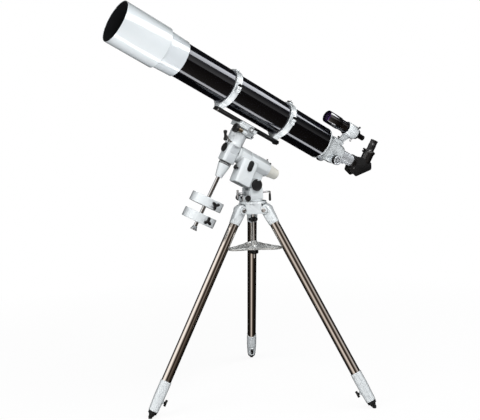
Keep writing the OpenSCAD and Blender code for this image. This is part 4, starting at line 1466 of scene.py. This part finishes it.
    def counterweights(self) -> None:
        """Cone, shaft, two weights with their lobed screws and the toe cap."""
        out = self.axes.along_x()
        Piece("shaft_cone_casting", "enamel", "dec_head", ["shaft_cone"]).lathe(
            out, [(9.2, -136), (15.6, -136), (16.6, -135), (17.4, -130), (28.6, -76),
                  (28.8, -72.4), (14.3, -72.4), (9.2, -84)], 96, ring=True).make()
        Piece("dec_shaft_bar", "bright_steel", "dec_head", ["dec_shaft"]).lathe(
            out, solid((14, -74), (14, 88)), 48).make()
        Piece("counterweight_shaft", "bright_steel", "dec_head", ["weight_shaft"]).lathe(
            out, solid((8, -398), (self.shaft_r, -397), (self.shaft_r, -84.6)), 48).make()
        Piece("shaft_toe_cap", "satin", "toe_cap", ["toe_cap"], slot="steel").lathe(
            out, solid((15, -407), (16, -406), (15.6, -403), (12.2, -396), (11, -389),
                       (10.4, -388), (9.3, -388), (9.3, -398.4)), 60,
            swell=fluted(0.02, 14, 24)).make()
        r, t = self.weight_r, self.weight_t / 2
        for key, at, turn in (("upper", self.weight_at[0], 66.0),
                              ("lower", self.weight_at[1], 6.0)):
            mid = out.moved(z=-at)
            Piece("counterweight_" + key, "enamel", "weight_" + key, ["weight_" + key],
                  slot="white_enamel").lathe(
                mid, [(self.shaft_r + 0.3, -t + 1.5), (11, -t), (r - 1.8, -t), (r, -t + 1.8),
                      (r, t - 1.8), (r - 1.8, t), (11, t), (self.shaft_r + 0.3, t - 1.5)], 128,
                ring=True).make()
            screw = self.axes.moved(x=-at).along_minus_y()
            knob = Piece("weight_knob_" + key, "plastic", "weight_screw_" + key,
                         ["weight_screw_" + key])
            knob.lathe(screw, solid((4.8, 9.6), (4.8, r + 8.5)), 24)
            knob.prism(screw.spun(turn), lobes(7.4, 21.5, 3, 96, 2.2), r + 8, r + 18, 2.4)
            knob.make()

    def build(self) -> None:
        """Builds every piece of the head."""
        self.housing()
        self.small_parts()
        self.saddle()
        self.counterweights()


@dataclass
class MountBase:
    """Azimuth base, altitude parts, RA housing, gear cover and polar scope."""

    axes: Axes = field(default_factory=PLAN.polar)
    ground: Axes = field(default_factory=PLAN.azimuth)

    def castings(self) -> None:
        """Faceted RA housing on its lug, and the azimuth base."""
        body = Piece("ra_housing_casting", "enamel", "altitude", ["ra_housing"], sharp=30)
        facets = circle(42, 8, 22.5)
        for scale, z0, z1 in ((1.0, -98, -42.4), (0.93, -103, -96), (0.985, -206, -101),
                              (0.92, -212, -205)):
            body.prism(self.axes, rounded(facets * scale, 4, 3), z0, z1, 2.0)
        body.lathe(self.axes, [(20.4, -221.8), (34.6, -221.8), (36, -220.6), (36, -208),
                               (20.4, -208)], 80, ring=True)
        (n, t), half = PLAN.altitude_axis(), 17.3
        lug = self.axes.moved(x=n, z=t).along_y()
        body.lathe(lug, [(8.2, -half), (26.8, -half), (28, 1.2 - half), (28, half - 1.2),
                         (26.8, half), (8.2, half)], 72, ring=True)
        body.box(self.axes, (n, -32), (-half, half), (t - 28, t + 28), 2.0, 1.5)
        body.box(self.ground, (-10, 10), (-half, half),
                 (PLAN.screw_z - 12, PLAN.alt_z - 10), 2.0, 1.5)
        body.make()
        screws = Piece("ra_housing_screws", "screw", "altitude", slot="steel")
        for z, deg, top in ((-200, 14, 46.5), (-214, 42, 41.5)):
            ax = self.axes.spun(-deg).moved(z=z).along_x()
            screws.lathe(ax, solid((2.0, 30), (2.0, top - 4), (4.2, top - 4), (4.2, top - 0.8),
                                   (3.4, top)), 24)
        screws.make()
        softened("azimuth_base", "azimuth", 1.6)

    def gear_cover(self) -> None:
        """Large round-cornered gear cover and its black oval plug."""
        side = self.axes.along_x()
        cover = Piece("gear_cover_shell", "enamel", "altitude", ["gear_cover"], sharp=40)
        cover.prism(side, rounded(oblong(50, 136, -62, 8), 15, 8), -130, -8, 5.0, 5)
        cover.make()
        face = self.axes.moved(x=-37, y=-62, z=-94).along_minus_y()
        a = circle(13.6, 48)
        oval = a + np.where(a[:, :1] > 0, 1, -1) * np.array([13.0, 0.0])
        Piece("gear_cover_plug", "plastic", "altitude").prism(face, oval, -1.0, 3.0, 1.2).make()

    def polar_parts(self) -> None:
        """Polar scope, its cream cap and the RA lock knob."""
        Piece("polar_scope_tube", "anodised", "altitude", ["polar_scope"]).lathe(
            self.axes, [(10, -228), (20, -228), (20, -222.2), (12, -222.2), (12, -70), (10, -70)],
            64, ring=True).make()
        Piece("polar_scope_cap", "cream", "polar_cap", ["polar_cap"]).lathe(
            self.axes, solid((23, -282), (25.2, -279.5), (28.2, -246.6), (28.2, -245),
                             (29.4, -244.6), (30, -243.6), (30, -223.4), (29, -222.5),
                             (20.2, -222.5), (20.2, -228.4)), 80).make()
        lock = self.axes.moved(x=-66, y=-34)
        Piece("ra_lock_knob", "plastic", "ra_lever", ["ra_lever"]).lathe(
            lock, solid((4, -49.6), (4, -39), (10, -38.9), (11, -38), (11, -32.4), (10, -31)),
            48, swell=fluted(0.05, 9, 8)).make()

    def adjusters(self) -> None:
        """Altitude bolt caps, altitude screws with handles and azimuth knobs."""
        cross = self.ground.moved(z=PLAN.alt_z).along_y()
        caps = Piece("altitude_caps", "plastic", "azimuth", ["altitude_bolt"])
        caps.lathe(cross, solid((8, -36), (8, 36)), 32)
        for ax in cross.both_ways():
            caps.lathe(ax, [(AXIS_R, 35.2), (27, 35.2), (28, 36.2), (28, 42.5), (26.6, 44.4),
                            (24, 45), (22.4, 43.8), (AXIS_R, 43.4)], 80)
        caps.make()
        level = self.ground.moved(z=PLAN.screw_z)
        front = Piece("altitude_screw_front_rod", "bright_steel", "altitude_screw_front",
                      ["altitude_screw_front"])
        front.lathe(level.along_x(), solid((5, -88), (6, -87), (6, -15.5), (1.6, -15),
                                           (1.6, -10.6)), 32)
        front.sweep(level, [(-84, 0, -22), (-84, 0, 18)], 5.0, 20)
        front.make()
        rear = Piece("altitude_screw_rear_rod", "bright_steel", "altitude_screw_rear",
                     ["altitude_screw_rear"])
        rear.lathe(level.along_x(), [(AXIS_R, 10.6), (1.6, 10.6), (1.6, 15), (6, 15.5), (6, 60),
                                     (4.6, 61), (4.6, 94), (AXIS_R, 96)], 32)
        rear.sweep(level, [(90, 0, 0), (99, 0, 0), (99, 0, -16)], 4.4, 20, soft=6)
        rear.make()
        Piece("altitude_handle_grip", "plastic", "altitude_screw_rear").lathe(
            level.moved(x=99), solid((3.6, -46), (5.6, -43), (6, -36), (5.2, -14), (4.4, -10)),
            32).make()
        far, near = self.ground.moved(x=-54, z=PLAN.base_z + 17).along_y().both_ways()
        for key, ax in (("near", near), ("far", far)):
            Piece("azimuth_knob_" + key, "plastic", "azimuth_screw_" + key,
                  ["azimuth_screw_" + key]).lathe(
                ax, solid((3.8, 6.0), (3.8, 37), (12.6, 37), (14, 38.4), (14, 46), (12.6, 48),
                          (5, 48), (4.4, 47)), 72, swell=fluted(0.03, 12, 14)).make()

    def build(self) -> None:
        """Builds every piece of the mount's base."""
        self.castings()
        self.gear_cover()
        self.polar_parts()
        self.adjusters()


@dataclass
class Tripod:
    """Hub, three legs, centre rod with its knobs and the tray."""

    ground: Axes = field(default_factory=PLAN.azimuth)
    rod_r: float = 7.0

    def hub(self) -> None:
        """Hub casting, leg bolts, centre rod and the two star knobs."""
        softened("tripod_hub", "tripod", 1.6)
        bolts = Piece("leg_hinge_bolts", "bright_steel", "tripod", ["leg_bolts"])
        for i in range(3):
            ax = PLAN.spoke(i).moved(x=PLAN.hinge_r, z=PLAN.hinge_z).along_y()
            bolts.lathe(ax, solid((5.8, -34), (5.8, 34)), 24)
            for a in ax.both_ways():
                bolts.lathe(a, solid((10.6, 34.6), (11, 35.2), (11, 36.4), (7.6, 36.8), (7.4, 39),
                                     (6.6, 39.4), (4.2, 39.4), (3.8, 37.4)), 36)
        bolts.make()
        z = PLAN.tray_z
        rod = Piece("centre_rod_bar", "bright_steel", "tripod", ["centre_rod"])
        rod.lathe(self.ground, solid((6, z - 52), (self.rod_r, z - 50.6),
                                     (self.rod_r, PLAN.base_z - 9)), 40)
        bot = PLAN.hinge_z - 20
        rod.lathe(self.ground, solid((10, bot - 16.8), (11, bot - 15.8), (11, bot + 1.5)), 40)
        base = PLAN.base_z
        rod.lathe(self.ground.moved(x=-54), solid((5, base - 0.3), (5, base + 25),
                                                  (4, base + 26)), 32)
        rod.make()
        knob = Piece("centre_star_knob", "plastic", "centre_knob", ["centre_knob"])
        knob.prism(self.ground, lobes(16.5, 23.6, 5, 140, 1.6), bot - 36, bot - 22, 4.5, 5)
        knob.lathe(self.ground, [(7.3, bot - 40), (12, bot - 40), (13, bot - 36), (13, bot - 18),
                                 (7.3, bot - 17.6)], 48, ring=True)
        knob.make()
        low = Piece("tray_star_knob", "plastic", "tray_knob", ["tray_knob"])
        low.prism(self.ground, lobes(13.5, 21.6, 3, 140, 1.6), z - 31.6, z - 12, 4.5, 5)
        low.lathe(self.ground, [(7.3, z - 32), (11, z - 32), (11, z - 12), (14, z - 10),
                                (14, z - 4.6), (7.3, z - 4.6)], 48, ring=True)
        low.make()

    def tray(self) -> None:
        """Three-pointed dished tray with a rolled rim and a central spigot.

        The rim is R(a) = 84 + 60 |cos 1.5a|^5; a section (share, drop, height) is carried
        round it as radius = R(a) * share - drop.
        """
        z = PLAN.tray_z
        a = np.linspace(0, 2 * np.pi, 180, endpoint=False)
        rim = 84 + 60 * np.abs(np.cos(1.5 * a)) ** 5
        section = [(0, -7.4, -4.0), (0, -13, -4.0), (0.55, -4, -3.6), (1, 8, -2.8),
                   (1, 2, -1.0), (1, 0.4, 2.0), (1, 0, 5.0), (1, 0.6, 7.4), (1, 2.0, 8.0),
                   (1, 3.4, 7.4), (1, 4.2, 5.0), (1, 6.0, 1.8), (1, 9.5, 0.5),
                   (0.72, 4, 1.8), (0.70, 4, 0.4), (0.40, 0, 1.2), (0.14, -12, 3.0),
                   (0.0, -17.5, 8.0), (0.0, -15.6, 20), (0.0, -15.4, 31), (0.0, -14.4, 33),
                   (0.0, -7.4, 33)]
        rows = []
        for share, drop, h in section:
            r = np.maximum(rim * share - drop, 7.4)
            rows.append(np.stack([r * np.cos(a + math.pi), r * np.sin(a + math.pi),
                                  np.full_like(a, z + h)], 1))
        piece = Piece("accessory_tray", "tray", "tray", ["tray"], sharp=50)
        piece.grid(self.ground.at(np.stack(rows)), loop=True)
        piece.make()

    def leg(self, i: int, key: str) -> None:
        """One leg: crown, polished tube, collar, rubber foot and T screw.

        Args:
            i: leg number from the north leg.
            key: letter in the node names.
        """
        ax = PLAN.leg(i)
        r = PLAN.leg_r
        end = PLAN.leg_len - 36
        start = end - PLAN.collar_len
        cast = Piece(f"leg_{key}_castings_set", "enamel", "leg_" + key, [f"leg_{key}_castings"],
                     sharp=40)
        # crown: a squarish block at the hinge that turns round at its mouth
        n = 72
        q = np.linspace(0, 2 * np.pi, n, endpoint=False)
        rows = []
        for zz, half, power in ((-22.5, 12, 4.0), (-21, 16, 4.0), (-16, 20.5, 4.0),
                                (-8, 23.6, 4.0), (4, 25, 4.0), (24, 25, 3.6),
                                (48, 25, 2.8), (66, 25, 2.1), (73.4, 25, 2.0),
                                (75, 24.2, 2.0), (75, 23.15, 2.0), (60, 23.15, 2.0)):
            e = 2.0 / power
            c, s = np.cos(q), np.sin(q)
            rows.append(np.stack([half * np.sign(c) * np.abs(c) ** e,
                                  (25 if zz < 70 else half) * np.sign(s) * np.abs(s) ** e,
                                  np.full(n, zz)], 1))
        cast.grid(ax.at(np.stack(rows)))
        cast.lathe(ax, [(r + 0.15, start), (r + 1.6, start), (r + 2.5, start + 1),
                        (r + 2.5, start + 70), (r - 0.5, end), (r - 3.2, end),
                        (r - 3.2, start + 52), (r + 0.15, start + 50)], 64, ring=True)
        boss = ax.moved(z=end - 50).along_x()
        cast.lathe(boss, [(5.4, 20), (9, 20), (9, 28.6), (8.2, 29.6), (5.4, 29.6)], 32, ring=True)
        cast.make()
        Piece(f"leg_{key}_steel_tube", "leg_steel", "leg_" + key, [f"leg_{key}_tube"]).lathe(
            ax, oblong(r - 2, r, 62, start + 49), 96, ring=True).make()
        foot = Piece(f"foot_{key}_rubber", "rubber", "slider_" + key, [f"leg_{key}_slider"])
        tip = PLAN.leg_len
        foot.lathe(ax, [(AXIS_R, end + 0.5), (20.4, end + 0.5), (21, end + 1.4), (21, end + 6),
                        (19.6, end + 7), (19.6, end + 8.4), (20.4, end + 9.4), (20, end + 13),
                        (15, end + 15), (12, tip - 14), (9.6, tip - 9.5), (AXIS_R, tip - 9)], 56)
        pad = PLAN.spoke(i).moved(x=PLAN.foot_r - 2)
        foot.lathe(pad, [(AXIS_R, 0.0), (8, 0.0), (9, 0.8), (9, 11), (8, 13), (AXIS_R, 15)], 40)
        foot.make()
        Piece(f"leg_{key}_slide_tube", "bright_steel", "slider_" + key).lathe(
            ax, oblong(17.5, 19.45, start - 480, end + 0.4), 48, ring=True).make()
        t = Piece(f"leg_{key}_lock", "plastic", "leg_screw_" + key, [f"leg_{key}_screw"])
        hold = ax.moved(z=end - 50)
        t.lathe(hold.along_x(), [(AXIS_R, 20), (4.8, 20), (4.8, 38), (7.2, 38.4), (8, 39.4),
                                 (8, 44), (AXIS_R, 44.4)], 32)
        bar = np.linspace(-15, 15, 21)
        t.grip(hold.moved(x=44), bar, 5.2 + np.abs(bar / 15) ** 2)
        t.make()

    def build(self) -> None:
        """Builds every piece of the tripod."""
        self.hub()
        self.tray()
        for i, key in enumerate("abc"):
            self.leg(i, key)


# ---------------------------------------------------------------- checks and main
def shown_middle(camera: PhotoCamera, obj: Object, everything: BVHTree) -> Array:
    """Image point at the middle of what shows of a piece.

    Args:
        camera: the photograph's camera.
        obj: the piece.
        everything: tree of all pieces.

    Returns:
        Image x and y.
    """
    graph = bpy.context.evaluated_depsgraph_get()
    ev = obj.evaluated_get(graph)
    mesh = ev.to_mesh()
    start = Vector(camera.place) * MM
    spots, weights = [], []
    step = max(1, len(mesh.polygons) // 4000)
    for poly in list(mesh.polygons)[::step]:
        c = ev.matrix_world @ poly.center
        way = c - start
        reach = way.length
        facing = -way.normalized().dot(poly.normal)
        if facing <= 0:
            continue
        hit = everything.ray_cast(start, way.normalized(), reach - 0.0006)
        if hit[0] is None:
            spots.append(c)
            weights.append(poly.area * facing)
    ev.to_mesh_clear()
    if not spots:
        return np.array([np.nan, np.nan])
    w = np.array(weights)[:, None]
    flat = camera.project(np.array([list(p) for p in spots]))
    return (flat * w).sum(0) / w.sum()


def write_points(camera: PhotoCamera, shown: dict[str, str]) -> None:
    """Works out how far each named thing shows from its image point; nothing is kept or written.

    Args:
        camera: the photograph's camera.
        shown: image point name to piece name.
    """
    pieces = [o for o in bpy.context.scene.objects
              if o.type == "MESH" and not o.hide_render and "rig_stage" not in o]
    tree = surface_tree(*pieces)
    graph = bpy.context.evaluated_depsgraph_get()
    clouds = []
    for obj in pieces:
        mesh = obj.evaluated_get(graph).data
        co = np.empty(len(mesh.vertices) * 3)
        mesh.vertices.foreach_get("co", co)
        clouds.append(co.reshape(-1, 3))
    flat = camera.project(np.concatenate(clouds))
    for name, axis, value in (("object_left", 0, flat[:, 0].min()),
                              ("object_right", 0, flat[:, 0].max()),
                              ("object_top", 1, flat[:, 1].min())):
        off = [0.0, 0.0]
        off[axis] = round(float(value - camera.points[name][axis]), 2)
    for i, name in enumerate(("foot_left", "foot_back", "foot_right")):
        pad = PLAN.spoke((0, 2, 1)[i]).moved(x=PLAN.foot_r - 2).at(np.zeros(3))
        off = camera.project(pad[None])[0] - camera.points[name]
    for name, piece in shown.items():
        off = shown_middle(camera, bpy.data.objects[piece], tree) - camera.points[name]


def fittings(camera: PhotoCamera) -> dict[str, str]:
    """Places the small fittings by their image points and names what each point shows.

    Args:
        camera: the photograph's camera.

    Returns:
        Image point name to piece name.
    """
    objects = bpy.data.objects
    dome = [(AXIS_R, -1.0), (1.0, -1.0), (1.0, 0.3), (0.8, 0.7), (AXIS_R, 0.8)]

    def button(name: str, point: str, carrier: str, finish: str, body: str, r: float,
               rise: float) -> None:
        """A low round head of radius r, standing rise proud at a point."""
        ax = seat(camera, point, objects[carrier])
        Piece(name, finish, body).lathe(
            ax, [(x * r if x > 0.02 else x, y * rise) for x, y in dome], 28).make()

    button("bar_end_screw", "bar_screw", "dovetail_rail", "bright_steel", "dec_head", 5.0, 2.0)
    button("housing_screw", "housing_dot", "dec_housing_panels", "screw", "ra_head", 2.6, 0.8)
    # white dome: partly the cap's own white dot, partly a painted highlight on the glossy cap,
    # hence its size
    button("altitude_cap_dot", "altitude_dot", "altitude_caps", "enamel", "azimuth", 6.5, 1.4)
    button("diagonal_hinge_screw", "diagonal_dot", "diagonal_body", "satin", "diagonal", 5.0, 1.5)
    return {
        "clasp_front": "ring_top_front_nut", "clasp_rear": "ring_top_rear_nut",
        "bar_screw": "bar_end_screw", "bore_plug": "polar_bore_plug",
        "housing_dot": "housing_screw", "gear_plug": "gear_cover_plug",
        "altitude_cap": "altitude_caps", "altitude_dot": "altitude_cap_dot",
        "finder_thumb": "finder_thumbscrew", "bracket_screw": "finder_bracket_screws",
        "focus_knob": "focus_knob_faces", "diagonal_dot": "diagonal_hinge_screw",
        "weight_knob": "weight_knob_upper", "saddle_knob": "saddle_clamp_knob",
    }


def split_lamps(on_tube: str, off_tube: str) -> None:
    """Keeps one lamp to the tube and what sits on it, and one to all the rest.

    Args:
        on_tube: lamp that lights the tube group alone.
        off_tube: lamp that lights mount, weights and tripod alone.
    """
    groups = {name: bpy.data.collections.new(name) for name in ("tube_group", "mount_group")}
    high = ("main_tube", "dew_shield", "lens_cell", "focus", "finder", "tube_ring",
            "ring_top", "diagonal", "drawtube", "eyepiece", "tube_baffles", "objective",
            "piggyback", "dovetail", "bar_")
    for obj in bpy.data.objects:
        if obj.type == "MESH":
            key = "tube_group" if obj.name.startswith(high) else "mount_group"
            groups[key].objects.link(obj)
    for lamp, key in ((on_tube, "tube_group"), (off_tube, "mount_group")):
        bpy.data.objects[lamp].light_linking.receiver_collection = groups[key]


def main() -> None:
    """Builds camera, studio and every sub-assembly, then works out the image-point offsets."""
    logging.basicConfig(level=logging.INFO, format="%(message)s")
    camera = PhotoCamera()
    camera.build()
    Studio().build(camera)
    for assembly in (Tripod(), MountBase(), MountHead(), OpticalTube(), Focuser(), Finder()):
        assembly.build()
        LOG.info("%s built", type(assembly).__name__)
    shown = fittings(camera)
    split_lamps("fill_strip", "mount_soft")
    bpy.context.view_layer.update()
    write_points(camera, shown)


if __name__ == "__main__":
    main()
